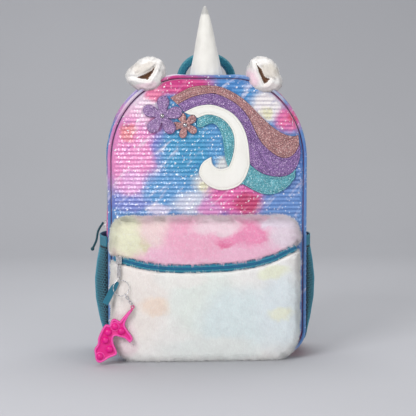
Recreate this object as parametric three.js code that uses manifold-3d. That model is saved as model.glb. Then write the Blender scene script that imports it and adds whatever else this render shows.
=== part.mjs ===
// Kids unicorn backpack, standing on its flat base.
// Units are millimetres. +Z is up, the front faces -Y and +X runs to the right as seen from the front.
// The origin is on the floor, under the middle of the main bag.

import * as THREE from 'three';
import { mergeVertices } from 'three/addons/utils/BufferGeometryUtils.js';
import Module from 'manifold-3d';

// Main bag
const BAG_HALF_WIDTH = 143;
const BAG_HEIGHT = 404;
const BAG_DEPTH = 110;
const SHELL_WALL = 3;
const EDGE_INSET = 8;
const SHOULDER_WIDTH = 103;
const SHOULDER_DROP = 116;
const BOTTOM_CORNER_RADIUS = 36;
const PANEL_DOME = 6;
const CLEARANCE = 0.3;
const PIPING_RADIUS = 2.2;

// Main zipper, in the gusset
const ZIPPER_WIDTH = 12;
const ZIPPER_THICKNESS = 1.6;
const ZIPPER_RECESS = 0.7;
const ZIPPER_OFFSET = 10;
const ZIPPER_END_HEIGHT = 174;
const MAIN_SLIDER_LENGTH = 12;
const MAIN_SLIDER_WIDTH = 8;
const MAIN_SLIDER_THICKNESS = 4;
const MAIN_CORD_RADIUS = 1.7;
const MAIN_CORD_LENGTH = 40;

// Front pocket
const POCKET_HALF_WIDTH = 132;
const POCKET_SIDE_PLACE = -4;
const POCKET_HEIGHT = 202;
const POCKET_DEPTH = 36;
const POCKET_WALL = 6;
const POCKET_TOP_RADIUS = 22;
const POCKET_BOTTOM_RADIUS = 38;
const POCKET_ZIPPER_WIDTH = 11.5;
const POCKET_ZIPPER_THICKNESS = 2;
const POCKET_ZIPPER_RECESS = 1.6;
const POCKET_ZIPPER_LEFT_HEIGHT = 146;
const POCKET_ZIPPER_RIGHT_HEIGHT = 159;
const POCKET_ZIPPER_LOW_HEIGHT = 133;

// Hanging pull on the front slider
const SLIDER_LENGTH = 11;
const SLIDER_WIDTH = 8;
const SLIDER_PROUD = 5;
const BAIL_WIDTH = 2;
const BAIL_THICKNESS = 1.3;
const BAIL_LENGTH = 7.6;
const BAIL_INNER_DEPTH = 2.4;
const SLIDER_X = -126;
const TAB_LENGTH = 24;
const TAB_WIDTH = 5;
const TAB_THICKNESS = 1.2;
const TAB_WINDOW_LENGTH = 5;
const TAB_WINDOW_WIDTH = 2.4;
const TAB_HOLE_RADIUS = 1.3;
const JUMP_RING_RADIUS = 3.4;
const JUMP_RING_WIRE = 0.55;
const SPLIT_RING_RADIUS = 11;
const SPLIT_RING_WIRE = 0.9;
const RIBBON_WIDTH = 8.5;
const RIBBON_THICKNESS = 1.4;
const RIBBON_LENGTH = 36;
const LINK_LENGTH = 6.4;
const LINK_WIDTH = 4.4;
const LINK_WIRE = 0.5;
const LINK_COUNT = 5;
const CHAIN_SLOPE = 58;
const SPLIT_RING_OFFSET = 3;
const SPLIT_RING_TILT = 11;
const CHARM_WIDTH = 54;
const CHARM_HEIGHT = 78;
const CHARM_THICKNESS = 5;
const CHARM_BUBBLE_RADIUS = 5.4;
const CHARM_BUBBLE_HEIGHT = 3;
const CHARM_EYE_RADIUS = 2.1;
const CHARM_EYE_WIRE = 0.7;
const CHARM_TURN = 2;

// Side pockets
const SIDE_POCKET_TOP = 160;
const SIDE_POCKET_BOTTOM = 24;
const SIDE_POCKET_DEPTH = 88;
const SIDE_POCKET_BULGE = 16;
const SIDE_POCKET_WALL = 1.6;
const BINDING_HEIGHT = 14;
const BINDING_WALL = 2.4;

// Horn, ears and handle
const HORN_RADIUS = 22;
const HORN_HEIGHT = 97;
const HORN_TIP_RADIUS = 2.2;
const HORN_DEPTH_PLACE = -26;
const HORN_LEAN = 2;
const HORN_SUNK = 10;
const EAR_WIDTH = 55;
const EAR_HEIGHT = 48;
const EAR_HALF_DEPTH = 16;
const EAR_WALL = 7;
const EAR_LEFT_SIDE = 87;
const EAR_LEFT_HEIGHT = 403;
const EAR_RIGHT_SIDE = 81;
const EAR_RIGHT_HEIGHT = 401;
const EAR_RIGHT_TURN = 28;
const EAR_DEPTH_PLACE = -50;
const EAR_SLIT_DEPTH = 26;
const HANDLE_HALF_SPAN = 38;
const HANDLE_RISE = 28;
const HANDLE_WIDTH = 25;
const HANDLE_THICKNESS = 12;
const HANDLE_DEPTH_PLACE = 34;
const HANDLE_SIDE_PLACE = 4;

// Applique on the front panel
const FELT_THICKNESS = 2.5;
const LOCK_GAP = 0.3;
const FLOWER_THICKNESS = 3.4;
const FLOWER_LARGE_RADIUS = 29;
const FLOWER_SMALL_RADIUS = 19;
const STUD_RADIUS = 3.4;
const STUD_HEIGHT = 2.4;

// Straps on the back
const STRAP_WIDTH = 58;
const STRAP_THICKNESS = 12;
const STRAP_DROP = 226;
const STRAP_TOP_HEIGHT = 368;
const STRAP_SIDE = 40;
const STRAP_SPREAD = 44;
const STRAP_BOW = 16;
const WEBBING_WIDTH = 24;
const WEBBING_THICKNESS = 1.8;
const BUCKLE_WIDTH = 34;
const BUCKLE_HEIGHT = 26;
const BUCKLE_THICKNESS = 4;
const BUCKLE_BAR = 4;
const BUCKLE_SLOT_HEIGHT = 5;

// Places worked out from the sizes above
const FRONT = -BAG_DEPTH / 2;
const BACK = BAG_DEPTH / 2;

const wasm = await Module();
wasm.setup();

const MATERIALS = {
  print: [0xc98fc0, 0.6, 0],
  zipperCloth: [0x1f7f96, 0.8, 0],
  coil: [0x24899d, 0.5, 0],
  cord: [0x1b5c6b, 0.8, 0],
  metal: [0xb9bcc2, 0.3, 1],
  plushUpper: [0xf3b6cf, 0.95, 0],
  plushLower: [0xf1efe4, 0.95, 0],
  mesh: [0x1f8398, 0.8, 0],
  satin: [0xe9e7e4, 0.45, 0],
  earPlush: [0xf2ebe8, 0.95, 0],
  webbing: [0x1b7487, 0.75, 0],
  roseGlitter: [0xa87a80, 0.5, 0],
  purpleGlitter: [0x7a4f9b, 0.5, 0],
  whiteFelt: [0xefede8, 0.9, 0],
  tealGlitter: [0x56a5b0, 0.5, 0],
  charm: [0xe0218f, 0.45, 0],
  buckle: [0x17566a, 0.5, 0],
};

const root = new THREE.Group();
const AXIS_Y = new THREE.Vector3(0, 1, 0);
const AXIS_X = new THREE.Vector3(1, 0, 0);

function addMesh(name, geometry, material, parent = root) {
  const [color, roughness, metalness] = MATERIALS[material];
  const mesh = new THREE.Mesh(geometry, new THREE.MeshStandardMaterial({ color, roughness, metalness }));
  mesh.name = name;
  parent.add(mesh);
  return mesh;
}

// Geometry helpers
function lerp(a, b, t) {
  return a + (b - a) * t;
}

// Reads one named column of a table whose first column rises, between its rows.
function readColumn(table, key, at, column) {
  const last = table.length - 1;
  if (at <= table[0][key]) return table[0][column];
  for (let i = 1; i <= last; i += 1) {
    if (at <= table[i][key]) {
      const share = (at - table[i - 1][key]) / (table[i][key] - table[i - 1][key]);
      return lerp(table[i - 1][column], table[i][column], share);
    }
  }
  return table[last][column];
}

function buildGeometry(points, triangles) {
  const positions = new Float32Array(points.flatMap((p) => [p.x, p.y, p.z]));
  const geometry = new THREE.BufferGeometry();
  geometry.setAttribute('position', new THREE.BufferAttribute(positions, 3));
  geometry.setIndex(triangles.flat());
  return faceOut(geometry);
}

// Turns every face round when the enclosed volume comes out negative.
function faceOut(geometry) {
  const position = geometry.getAttribute('position');
  const index = geometry.getIndex();
  const [a, b, c] = [new THREE.Vector3(), new THREE.Vector3(), new THREE.Vector3()];
  let volume = 0;
  for (let i = 0; i < index.count; i += 3) {
    a.fromBufferAttribute(position, index.getX(i));
    b.fromBufferAttribute(position, index.getX(i + 1));
    c.fromBufferAttribute(position, index.getX(i + 2));
    volume += a.dot(b.cross(c));
  }
  if (volume < 0) {
    for (let i = 0; i < index.count; i += 3) {
      const second = index.getX(i + 1);
      index.setX(i + 1, index.getX(i + 2));
      index.setX(i + 2, second);
    }
  }
  return geometry;
}

// Joins closed rings of equal length into one solid, with a fan to a centre point at each end.
function loft(rings, closed = false, startCentre = null, endCentre = null) {
  const size = rings[0].length;
  const points = rings.flat();
  const triangles = [];
  const spans = closed ? rings.length : rings.length - 1;
  for (let r = 0; r < spans; r += 1) {
    const here = r * size;
    const next = ((r + 1) % rings.length) * size;
    for (let i = 0; i < size; i += 1) {
      const j = (i + 1) % size;
      triangles.push([here + i, here + j, next + j], [here + i, next + j, next + i]);
    }
  }
  if (!closed) {
    const last = (rings.length - 1) * size;
    points.push(startCentre ?? ringCentre(rings[0]));
    points.push(endCentre ?? ringCentre(rings[rings.length - 1]));
    for (let i = 0; i < size; i += 1) {
      const j = (i + 1) % size;
      triangles.push([j, i, points.length - 2], [last + i, last + j, points.length - 1]);
    }
  }
  return buildGeometry(points, triangles);
}

function ringCentre(ring) {
  const centre = new THREE.Vector3();
  ring.forEach((p) => centre.add(p));
  return centre.divideScalar(ring.length);
}

// A thin sheet between an outer and an inner face, each a function of two shares from 0 to 1.
function sheet(columns, rows, outer, inner) {
  const points = [];
  [outer, inner].forEach((face) => {
    for (let r = 0; r <= rows; r += 1) {
      for (let c = 0; c <= columns; c += 1) points.push(face(c / columns, r / rows));
    }
  });
  const layer = (rows + 1) * (columns + 1);
  const at = (c, r) => r * (columns + 1) + c;
  const triangles = [];
  for (let r = 0; r < rows; r += 1) {
    for (let c = 0; c < columns; c += 1) {
      const [p, q, s, t] = [at(c, r), at(c + 1, r), at(c + 1, r + 1), at(c, r + 1)];
      triangles.push([p, q, s], [p, s, t]);
      triangles.push([layer + q, layer + p, layer + s], [layer + s, layer + p, layer + t]);
    }
  }
  const rim = [];
  for (let c = 0; c < columns; c += 1) rim.push(at(c, 0));
  for (let r = 0; r < rows; r += 1) rim.push(at(columns, r));
  for (let c = columns; c > 0; c -= 1) rim.push(at(c, rows));
  for (let r = rows; r > 0; r -= 1) rim.push(at(0, r));
  rim.forEach((p, i) => {
    const q = rim[(i + 1) % rim.length];
    triangles.push([q, p, layer + p], [q, layer + p, layer + q]);
  });
  return buildGeometry(points, triangles);
}

// A prism over an outline in X and Z, whose front and back faces follow two functions of the place.
function prism(path, front, back) {
  const outline = THREE.ShapeUtils.area(path) > 0 ? path : path.slice().reverse();
  const faces = THREE.ShapeUtils.triangulateShape(outline, []);
  const count = outline.length;
  const points = outline.map((p) => new THREE.Vector3(p.x, front(p.x, p.y), p.y));
  outline.forEach((p) => points.push(new THREE.Vector3(p.x, back(p.x, p.y), p.y)));
  const triangles = [];
  faces.forEach(([a, b, c]) => triangles.push([a, b, c], [count + c, count + b, count + a]));
  for (let i = 0; i < count; i += 1) {
    const j = (i + 1) % count;
    triangles.push([j, i, count + i], [j, count + i, count + j]);
  }
  return buildGeometry(points, triangles);
}

// A round bar along a smooth path, closed on itself or with flat ends. The seed never runs along the path.
function bar(path, radius, sides, closed = false, seed = AXIS_Y) {
  const count = path.length;
  const rings = path.map((centre, i) => {
    const before = path[closed ? (i + count - 1) % count : Math.max(i - 1, 0)];
    const after = path[closed ? (i + 1) % count : Math.min(i + 1, count - 1)];
    const along = after.clone().sub(before).normalize();
    const across = seed.clone().cross(along).normalize();
    const up = along.clone().cross(across).normalize();
    return Array.from({ length: sides }, (unused, k) => {
      const angle = (k / sides) * Math.PI * 2;
      return centre.clone()
        .addScaledVector(across, Math.cos(angle) * radius)
        .addScaledVector(up, Math.sin(angle) * radius);
    });
  });
  return loft(rings, closed);
}

// A flat band with rounded edges along a path, its width along the given direction.
const BAND_CORNERS = [
  { wide: 1, thick: 0.3 }, { wide: 0.86, thick: 1 }, { wide: -0.86, thick: 1 }, { wide: -1, thick: 0.3 },
  { wide: -1, thick: -0.3 }, { wide: -0.86, thick: -1 }, { wide: 0.86, thick: -1 }, { wide: 1, thick: -0.3 },
];

// A band's fixed axis lies across its width, or is its normal where it lies flat against a wall.
function band(path, widthAt, thickness, axis, axisIsNormal = false) {
  const last = path.length - 1;
  const rings = path.map((centre, i) => {
    const along = path[Math.min(i + 1, last)].clone().sub(path[Math.max(i - 1, 0)]).normalize();
    const other = along.clone().cross(axis).normalize();
    const across = axisIsNormal ? other : axis;
    const normal = axisIsNormal ? axis : other;
    return BAND_CORNERS.map((corner) => centre.clone()
      .addScaledVector(across, (corner.wide * widthAt(i / last)) / 2)
      .addScaledVector(normal, (corner.thick * thickness) / 2));
  });
  return loft(rings);
}

function smoothPath(points, steps) {
  return new THREE.CatmullRomCurve3(points, false, 'centripetal').getPoints(steps);
}

// Solid joins and cuts
function toSolid(geometry) {
  const plain = geometry.clone();
  plain.deleteAttribute('normal');
  plain.deleteAttribute('uv');
  const merged = mergeVertices(plain, 1e-4);
  return new wasm.Manifold(new wasm.Mesh({
    numProp: 3,
    vertProperties: new Float32Array(merged.getAttribute('position').array),
    triVerts: new Uint32Array(merged.getIndex().array),
  }));
}

function toGeometry(solid) {
  const mesh = solid.getMesh();
  const geometry = new THREE.BufferGeometry();
  geometry.setAttribute('position', new THREE.BufferAttribute(new Float32Array(mesh.vertProperties), 3));
  geometry.setIndex(new THREE.BufferAttribute(new Uint32Array(mesh.triVerts), 1));
  return geometry;
}

function boxGeometry(low, high) {
  const size = high.clone().sub(low);
  const geometry = new THREE.BoxGeometry(size.x, size.y, size.z);
  geometry.translate(...low.clone().add(high).divideScalar(2).toArray());
  return geometry;
}

// Bag shell
// Sections run from the front panel's edge to the back panel's. Depth is a share of half the bag's depth.
// Inset and lift are shares of the edge inset: lift raises the bottom, which lies flat between the edges.
const SHELL_SECTIONS = [
  { depth: -1.0, inset: 1.0, lift: 1.0 },
  { depth: -0.93, inset: 0.5, lift: 0.35 },
  { depth: -0.78, inset: 0.15, lift: 0 },
  { depth: -0.4, inset: 0, lift: 0 },
  { depth: 0.45, inset: 0, lift: 0 },
  { depth: 0.78, inset: 0.15, lift: 0 },
  { depth: 0.93, inset: 0.5, lift: 0.35 },
  { depth: 1.0, inset: 1.0, lift: 1.0 },
];
// Rings of the domed front panel. Size is a share of its outline and rise a share of the dome.
const DOME_RINGS = [
  { size: 0.9, rise: 0.42 },
  { size: 0.7, rise: 0.76 },
  { size: 0.4, rise: 0.95 },
];
const PIPING_SIDES = 6;
const CORNER_STEPS = 4;
const SHOULDER_STEPS = 9;

// One arch outline, counter-clockwise from the bottom middle, as points in X and Z.
function archOutline(inset, lift) {
  const half = BAG_HALF_WIDTH - inset;
  const top = BAG_HEIGHT - inset;
  const right = [new THREE.Vector2(0, lift)];
  for (let i = 0; i <= CORNER_STEPS; i += 1) {
    const angle = (i / CORNER_STEPS - 1) * (Math.PI / 2);
    right.push(new THREE.Vector2(
      half - BOTTOM_CORNER_RADIUS + BOTTOM_CORNER_RADIUS * Math.cos(angle),
      lift + BOTTOM_CORNER_RADIUS + BOTTOM_CORNER_RADIUS * Math.sin(angle),
    ));
  }
  right.push(new THREE.Vector2(half, (BOTTOM_CORNER_RADIUS + top - SHOULDER_DROP) / 2));
  for (let i = 0; i <= SHOULDER_STEPS; i += 1) {
    const angle = (i / SHOULDER_STEPS) * (Math.PI / 2);
    right.push(new THREE.Vector2(
      half - SHOULDER_WIDTH + SHOULDER_WIDTH * Math.cos(angle),
      top - SHOULDER_DROP + SHOULDER_DROP * Math.sin(angle),
    ));
  }
  const left = right.slice(1).reverse().map((p) => new THREE.Vector2(-p.x, p.y));
  return [...right, new THREE.Vector2(0, top), ...left];
}

function archRing(inset, lift, depth, size = 1) {
  const middle = BAG_HEIGHT / 2;
  const raised = (z) => middle + (z - middle) * size;
  return archOutline(inset, lift).map((p) => new THREE.Vector3(p.x * size, depth, raised(p.y)));
}

// The shell's outer form, grown outwards on all sides, or shrunk where grow is negative.
function shellForm(grow) {
  const rings = SHELL_SECTIONS.map((section) => archRing(
    section.inset * EDGE_INSET - grow,
    section.lift * EDGE_INSET - grow,
    section.depth * (BAG_DEPTH / 2 + grow),
  ));
  const front = FRONT - grow;
  const dome = DOME_RINGS.map((ring) => archRing(
    EDGE_INSET - grow,
    EDGE_INSET - grow,
    front - ring.rise * PANEL_DOME,
    ring.size,
  ));
  const tip = new THREE.Vector3(0, front - PANEL_DOME, BAG_HEIGHT / 2);
  return loft([...dome.reverse(), ...rings], false, tip);
}

// Depth of the domed front panel at a place in X and Z.
function panelDepth(x, z) {
  const middle = BAG_HEIGHT / 2;
  const across = x / (BAG_HALF_WIDTH - EDGE_INSET);
  const up = (z - middle) / (middle - EDGE_INSET);
  const size = Math.min(Math.hypot(across, up), 1);
  return FRONT - PANEL_DOME * Math.sqrt(Math.max(1 - size * size, 0));
}

// How far the gusset lies inside its crown at a depth.
function gussetInset(y) {
  return readColumn(SHELL_SECTIONS, 'depth', y / (BAG_DEPTH / 2), 'inset') * EDGE_INSET;
}

// The gusset's side surface at a depth and a height below the shoulders.
function sideSurface(y, z) {
  const half = BAG_HALF_WIDTH - gussetInset(y);
  if (z >= BOTTOM_CORNER_RADIUS) return half;
  const drop = BOTTOM_CORNER_RADIUS - z;
  return half - BOTTOM_CORNER_RADIUS + Math.sqrt(Math.max(BOTTOM_CORNER_RADIUS ** 2 - drop ** 2, 0));
}

// A band that follows the gusset between two distances outside its crown, above the zipper's end.
function zipperBand(outside, inside, width, endHeight) {
  const slab = (grow) => {
    const near = archRing(-grow, -grow, ZIPPER_OFFSET - width / 2);
    const far = archRing(-grow, -grow, ZIPPER_OFFSET + width / 2);
    return toSolid(loft([near, far]));
  };
  const reach = BAG_HALF_WIDTH * 2;
  const above = toSolid(boxGeometry(
    new THREE.Vector3(-reach, -BAG_DEPTH, endHeight),
    new THREE.Vector3(reach, BAG_DEPTH, BAG_HEIGHT * 2),
  ));
  return slab(outside).subtract(slab(inside)).intersect(above);
}

const shellOuter = toSolid(shellForm(0));
const shellRaised = toSolid(shellForm(CLEARANCE));

function addMainBag() {
  const slot = zipperBand(SHELL_WALL * 2, -SHELL_WALL * 2, ZIPPER_WIDTH, ZIPPER_END_HEIGHT);
  const shell = shellOuter.subtract(toSolid(shellForm(-SHELL_WALL))).subtract(slot);
  addMesh('bag_shell', toGeometry(shell), 'print');
  const tape = zipperBand(
    -ZIPPER_RECESS,
    -ZIPPER_RECESS - ZIPPER_THICKNESS,
    ZIPPER_WIDTH - CLEARANCE * 2,
    ZIPPER_END_HEIGHT + CLEARANCE,
  );
  addMesh('main_zipper', toGeometry(tape), 'zipperCloth');
}

// Piping beads lie on the rounded edge between a panel and the gusset, at 45 degrees to both.
function pipingPath(side) {
  const standoff = (PIPING_RADIUS + CLEARANCE) * Math.SQRT1_2;
  const inset = EDGE_INSET * 0.72 - standoff;
  return archRing(inset, inset, side * (BAG_DEPTH / 2 + standoff * 0.55));
}

const pipingRaised = toSolid(bar(pipingPath(-1), PIPING_RADIUS + CLEARANCE, PIPING_SIDES, true));
const frontSeat = shellRaised.add(pipingRaised);

function addPiping() {
  [['front_piping', -1], ['back_piping', 1]].forEach(([name, side]) => {
    const bead = toSolid(bar(pipingPath(side), PIPING_RADIUS, PIPING_SIDES, true)).subtract(shellRaised);
    addMesh(name, toGeometry(bead), 'print');
  });
}

// Route of the main zipper's cord pull from its slider, as shares of its length.
const MAIN_CORD_ROUTE = [
  { out: 0, forward: 0, drop: 0 },
  { out: 0.18, forward: 0.05, drop: 0.3 },
  { out: 0.26, forward: 0.125, drop: 0.66 },
  { out: 0.38, forward: 0.2, drop: 0.92 },
];

function addMainSlider() {
  const x = -(BAG_HALF_WIDTH - ZIPPER_RECESS + CLEARANCE);
  const bottom = ZIPPER_END_HEIGHT + MAIN_SLIDER_LENGTH / 2;
  const slider = boxGeometry(
    new THREE.Vector3(x - MAIN_SLIDER_THICKNESS, ZIPPER_OFFSET - MAIN_SLIDER_WIDTH / 2, bottom),
    new THREE.Vector3(x, ZIPPER_OFFSET + MAIN_SLIDER_WIDTH / 2, bottom + MAIN_SLIDER_LENGTH),
  );
  addMesh('main_slider', slider, 'metal');
  const start = new THREE.Vector3(
    x - MAIN_SLIDER_THICKNESS - MAIN_CORD_RADIUS - CLEARANCE,
    ZIPPER_OFFSET,
    bottom + MAIN_SLIDER_LENGTH * 0.8,
  );
  const path = smoothPath(MAIN_CORD_ROUTE.map((row) => start.clone().add(
    new THREE.Vector3(-row.out, -row.forward, -row.drop).multiplyScalar(MAIN_CORD_LENGTH),
  )), 8);
  addMesh('main_pull_cord', bar(path, MAIN_CORD_RADIUS, 8), 'cord');
}

// Front pocket
// Sections run out from the front panel. Depth and inset are shares of the pocket's depth.
const POCKET_SECTIONS = [
  { depth: -0.25, inset: 0.02 },
  { depth: 0.15, inset: 0 },
  { depth: 0.5, inset: 0.01 },
  { depth: 0.75, inset: 0.09 },
  { depth: 0.9, inset: 0.22 },
  { depth: 1.0, inset: 0.48 },
];
const POCKET_CROWN = 0.12;

function pocketOutline(inset, lift) {
  const half = POCKET_HALF_WIDTH - inset;
  const top = POCKET_HEIGHT - inset;
  const points = [];
  const corner = (x, z, radius, from) => {
    for (let i = 0; i <= CORNER_STEPS; i += 1) {
      const angle = from + (i / CORNER_STEPS) * (Math.PI / 2);
      points.push(new THREE.Vector2(x + radius * Math.cos(angle), z + radius * Math.sin(angle)));
    }
  };
  const low = lift + POCKET_BOTTOM_RADIUS;
  points.push(new THREE.Vector2(0, lift));
  corner(half - POCKET_BOTTOM_RADIUS, low, POCKET_BOTTOM_RADIUS, -Math.PI / 2);
  points.push(new THREE.Vector2(half, (low + top) / 2));
  corner(half - POCKET_TOP_RADIUS, top - POCKET_TOP_RADIUS, POCKET_TOP_RADIUS, 0);
  points.push(new THREE.Vector2(0, top));
  corner(POCKET_TOP_RADIUS - half, top - POCKET_TOP_RADIUS, POCKET_TOP_RADIUS, Math.PI / 2);
  points.push(new THREE.Vector2(-half, (low + top) / 2));
  corner(POCKET_BOTTOM_RADIUS - half, low, POCKET_BOTTOM_RADIUS, Math.PI);
  return points.map((p) => p.setX(p.x + POCKET_SIDE_PLACE));
}

// The pocket's outer form, shrunk on all sides by a wall.
function pocketForm(shrink) {
  const rings = POCKET_SECTIONS.map((section) => {
    const inset = section.inset * POCKET_DEPTH;
    const lift = section.depth > 0.8 ? inset * 0.7 : inset * 0.4;
    const depth = FRONT - section.depth * (POCKET_DEPTH - shrink);
    return pocketOutline(inset + shrink, lift + shrink)
      .map((p) => new THREE.Vector3(p.x, depth, p.y));
  });
  const crown = FRONT - (1 + POCKET_CROWN) * (POCKET_DEPTH - shrink);
  const last = rings[rings.length - 1];
  const middle = ringCentre(last);
  const inner = [0.75, 0.4].map((size) => last.map((p) => {
    const moved = p.clone().sub(middle).multiplyScalar(size).add(middle);
    moved.y = lerp(crown, p.y, size * size);
    return moved;
  }));
  return loft([...rings, ...inner], false, null, new THREE.Vector3(0, crown, middle.z));
}

// Places along the pocket's zipper, across as shares of its half width and rise as shares of each end's rise.
const ZIPPER_SAG = [
  { across: -1.1, rise: 1.15 },
  { across: -0.92, rise: 1 },
  { across: -0.6, rise: 0.25 },
  { across: -0.22, rise: 0 },
  { across: 0.3, rise: 0.1 },
  { across: 0.65, rise: 0.42 },
  { across: 0.92, rise: 1 },
  { across: 1.1, rise: 1.15 },
];
const ZIPPER_STEPS = 26;

// The zipper's curve across the pocket, sagging between its ends, as points in X and Z.
function zipperCurve() {
  return new THREE.SplineCurve(ZIPPER_SAG.map((row) => {
    const end = row.across < 0 ? POCKET_ZIPPER_LEFT_HEIGHT : POCKET_ZIPPER_RIGHT_HEIGHT;
    const across = POCKET_SIDE_PLACE + row.across * POCKET_HALF_WIDTH;
    return new THREE.Vector2(across, lerp(POCKET_ZIPPER_LOW_HEIGHT, end, row.rise));
  })).getPoints(ZIPPER_STEPS);
}

// A prism right through the pocket between two offsets from the zipper's curve.
function curvedSlab(low, high) {
  const curve = zipperCurve();
  const outline = [
    ...curve.map((p) => new THREE.Vector2(p.x, p.y + low)),
    ...curve.slice().reverse().map((p) => new THREE.Vector2(p.x, p.y + high)),
  ];
  const near = () => FRONT - POCKET_DEPTH * 2;
  const far = () => BACK;
  return toSolid(prism(outline, near, far));
}

const pocketOuter = toSolid(pocketForm(0));

function addFrontPocket() {
  const walls = pocketOuter.subtract(toSolid(pocketForm(POCKET_WALL))).subtract(frontSeat);
  const half = POCKET_ZIPPER_WIDTH / 2;
  const above = curvedSlab(half + CLEARANCE, POCKET_HEIGHT * 2);
  const below = curvedSlab(-POCKET_HEIGHT * 2, -half - CLEARANCE);
  addMesh('pocket_upper', toGeometry(walls.intersect(above)), 'plushUpper');
  addMesh('pocket_lower', toGeometry(walls.intersect(below)), 'plushLower');
  const tape = toSolid(pocketForm(POCKET_ZIPPER_RECESS))
    .subtract(toSolid(pocketForm(POCKET_ZIPPER_RECESS + POCKET_ZIPPER_THICKNESS)))
    .subtract(frontSeat)
    .intersect(curvedSlab(-half, half));
  addMesh('front_zipper', toGeometry(tape), 'zipperCloth');
}

// Side pockets
// Bulge by height. Height is a share of the pocket's height, bulge a share of the largest bulge.
const SIDE_POCKET_SECTIONS = [
  { height: 0, bulge: 0.05 },
  { height: 0.2, bulge: 0.58 },
  { height: 0.42, bulge: 0.93 },
  { height: 0.62, bulge: 1.0 },
  { height: 0.82, bulge: 0.8 },
  { height: 1.0, bulge: 0.5 },
];

function sidePocketPoint(side, across, z, standoff) {
  const share = (z - SIDE_POCKET_BOTTOM) / (SIDE_POCKET_TOP - SIDE_POCKET_BOTTOM);
  const bulge = readColumn(SIDE_POCKET_SECTIONS, 'height', share, 'bulge') * SIDE_POCKET_BULGE;
  const y = lerp(-SIDE_POCKET_DEPTH / 2, SIDE_POCKET_DEPTH / 2, across);
  const arc = Math.sin(Math.PI * across) ** 0.7;
  return new THREE.Vector3(side * (sideSurface(y, z) + CLEARANCE + standoff + bulge * arc), y, z);
}

function addSidePockets() {
  [['left', -1], ['right', 1]].forEach(([name, side]) => {
    const wall = (rows, thickness, low, high) => {
      const face = (standoff) => (u, v) => sidePocketPoint(side, u, lerp(low, high, v), standoff);
      return toGeometry(toSolid(sheet(10, rows, face(thickness), face(0))).subtract(shellRaised));
    };
    const rim = SIDE_POCKET_TOP + CLEARANCE;
    addMesh(`side_pocket_${name}`, wall(7, SIDE_POCKET_WALL, SIDE_POCKET_BOTTOM, SIDE_POCKET_TOP), 'mesh');
    addMesh(`side_binding_${name}`, wall(2, BINDING_WALL, rim, rim + BINDING_HEIGHT), 'webbing');
  });
}

// Horn, ears and handle
// Radius of the horn by height, as shares of its base radius and its height.
const HORN_SECTIONS = [
  { height: 0, radius: 1 },
  { height: 0.2, radius: 0.86 },
  { height: 0.5, radius: 0.63 },
  { height: 0.8, radius: 0.34 },
  { height: 0.93, radius: 0.19 },
];

function addHorn() {
  const profile = [
    new THREE.Vector2(0, -HORN_SUNK),
    new THREE.Vector2(HORN_RADIUS, -HORN_SUNK),
    ...HORN_SECTIONS.map((row) => new THREE.Vector2(row.radius * HORN_RADIUS, row.height * HORN_HEIGHT)),
    new THREE.Vector2(HORN_TIP_RADIUS, HORN_HEIGHT * 0.985),
    new THREE.Vector2(0, HORN_HEIGHT),
  ];
  const cone = new THREE.LatheGeometry(profile, 18);
  cone.rotateX(Math.PI / 2);
  const position = cone.getAttribute('position');
  for (let i = 0; i < position.count; i += 1) {
    position.setX(i, position.getX(i) - HORN_LEAN * Math.max(position.getZ(i), 0) / HORN_HEIGHT);
  }
  cone.translate(0, HORN_DEPTH_PLACE, BAG_HEIGHT);
  addMesh('horn', toGeometry(toSolid(cone).subtract(shellRaised)), 'satin');
}

// Outline of the left ear round its middle, anticlockwise from the left, in shares of half its size.
const EAR_OUTLINE = [
  { across: -1.0, up: -0.02 }, { across: -0.93, up: -0.38 }, { across: -0.66, up: -0.68 },
  { across: -0.3, up: -0.93 }, { across: 0.1, up: -1.0 }, { across: 0.5, up: -0.88 },
  { across: 0.82, up: -0.52 }, { across: 0.99, up: -0.05 }, { across: 0.98, up: 0.42 },
  { across: 0.78, up: 0.82 }, { across: 0.4, up: 0.99 }, { across: 0.05, up: 1.0 },
  { across: -0.28, up: 0.86 }, { across: -0.6, up: 0.5 }, { across: -0.86, up: 0.3 },
];
// The slit where the folded ear opens, in the same shares: a bent sliver that is widest at its vertex.
const EAR_SLIT = [
  { across: -0.83, up: 0.06 }, { across: -0.35, up: 0.02 }, { across: 0.06, up: -0.22 },
  { across: 0.24, up: 0.08 }, { across: 0.57, up: 0.58 }, { across: 0.24, up: 0.36 },
  { across: -0.25, up: 0.2 },
];
const EAR_RINGS = [0.3, 0.75, 1.1];

// A pillow-shaped solid over an outline in X and Z, its rings going in as the depth grows.
function pillow(outline, halfDepth, shrink) {
  const ring = (angle, side) => outline.map((p) => {
    const length = Math.max(p.length() - shrink, 1);
    const flat = p.clone().normalize().multiplyScalar(length * Math.cos(angle) ** 0.6);
    return new THREE.Vector3(flat.x, side * Math.sin(angle) * (halfDepth - shrink), flat.y);
  });
  const front = EAR_RINGS.map((angle) => ring(angle, -1)).reverse();
  const back = EAR_RINGS.map((angle) => ring(angle, 1));
  const reach = halfDepth - shrink;
  return loft(
    [...front, ring(0, 1), ...back],
    false,
    new THREE.Vector3(0, -reach, 0),
    new THREE.Vector3(0, reach, 0),
  );
}

function earPoints(table) {
  return table.map((row) => new THREE.Vector2((row.across * EAR_WIDTH) / 2, (row.up * EAR_HEIGHT) / 2));
}

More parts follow.
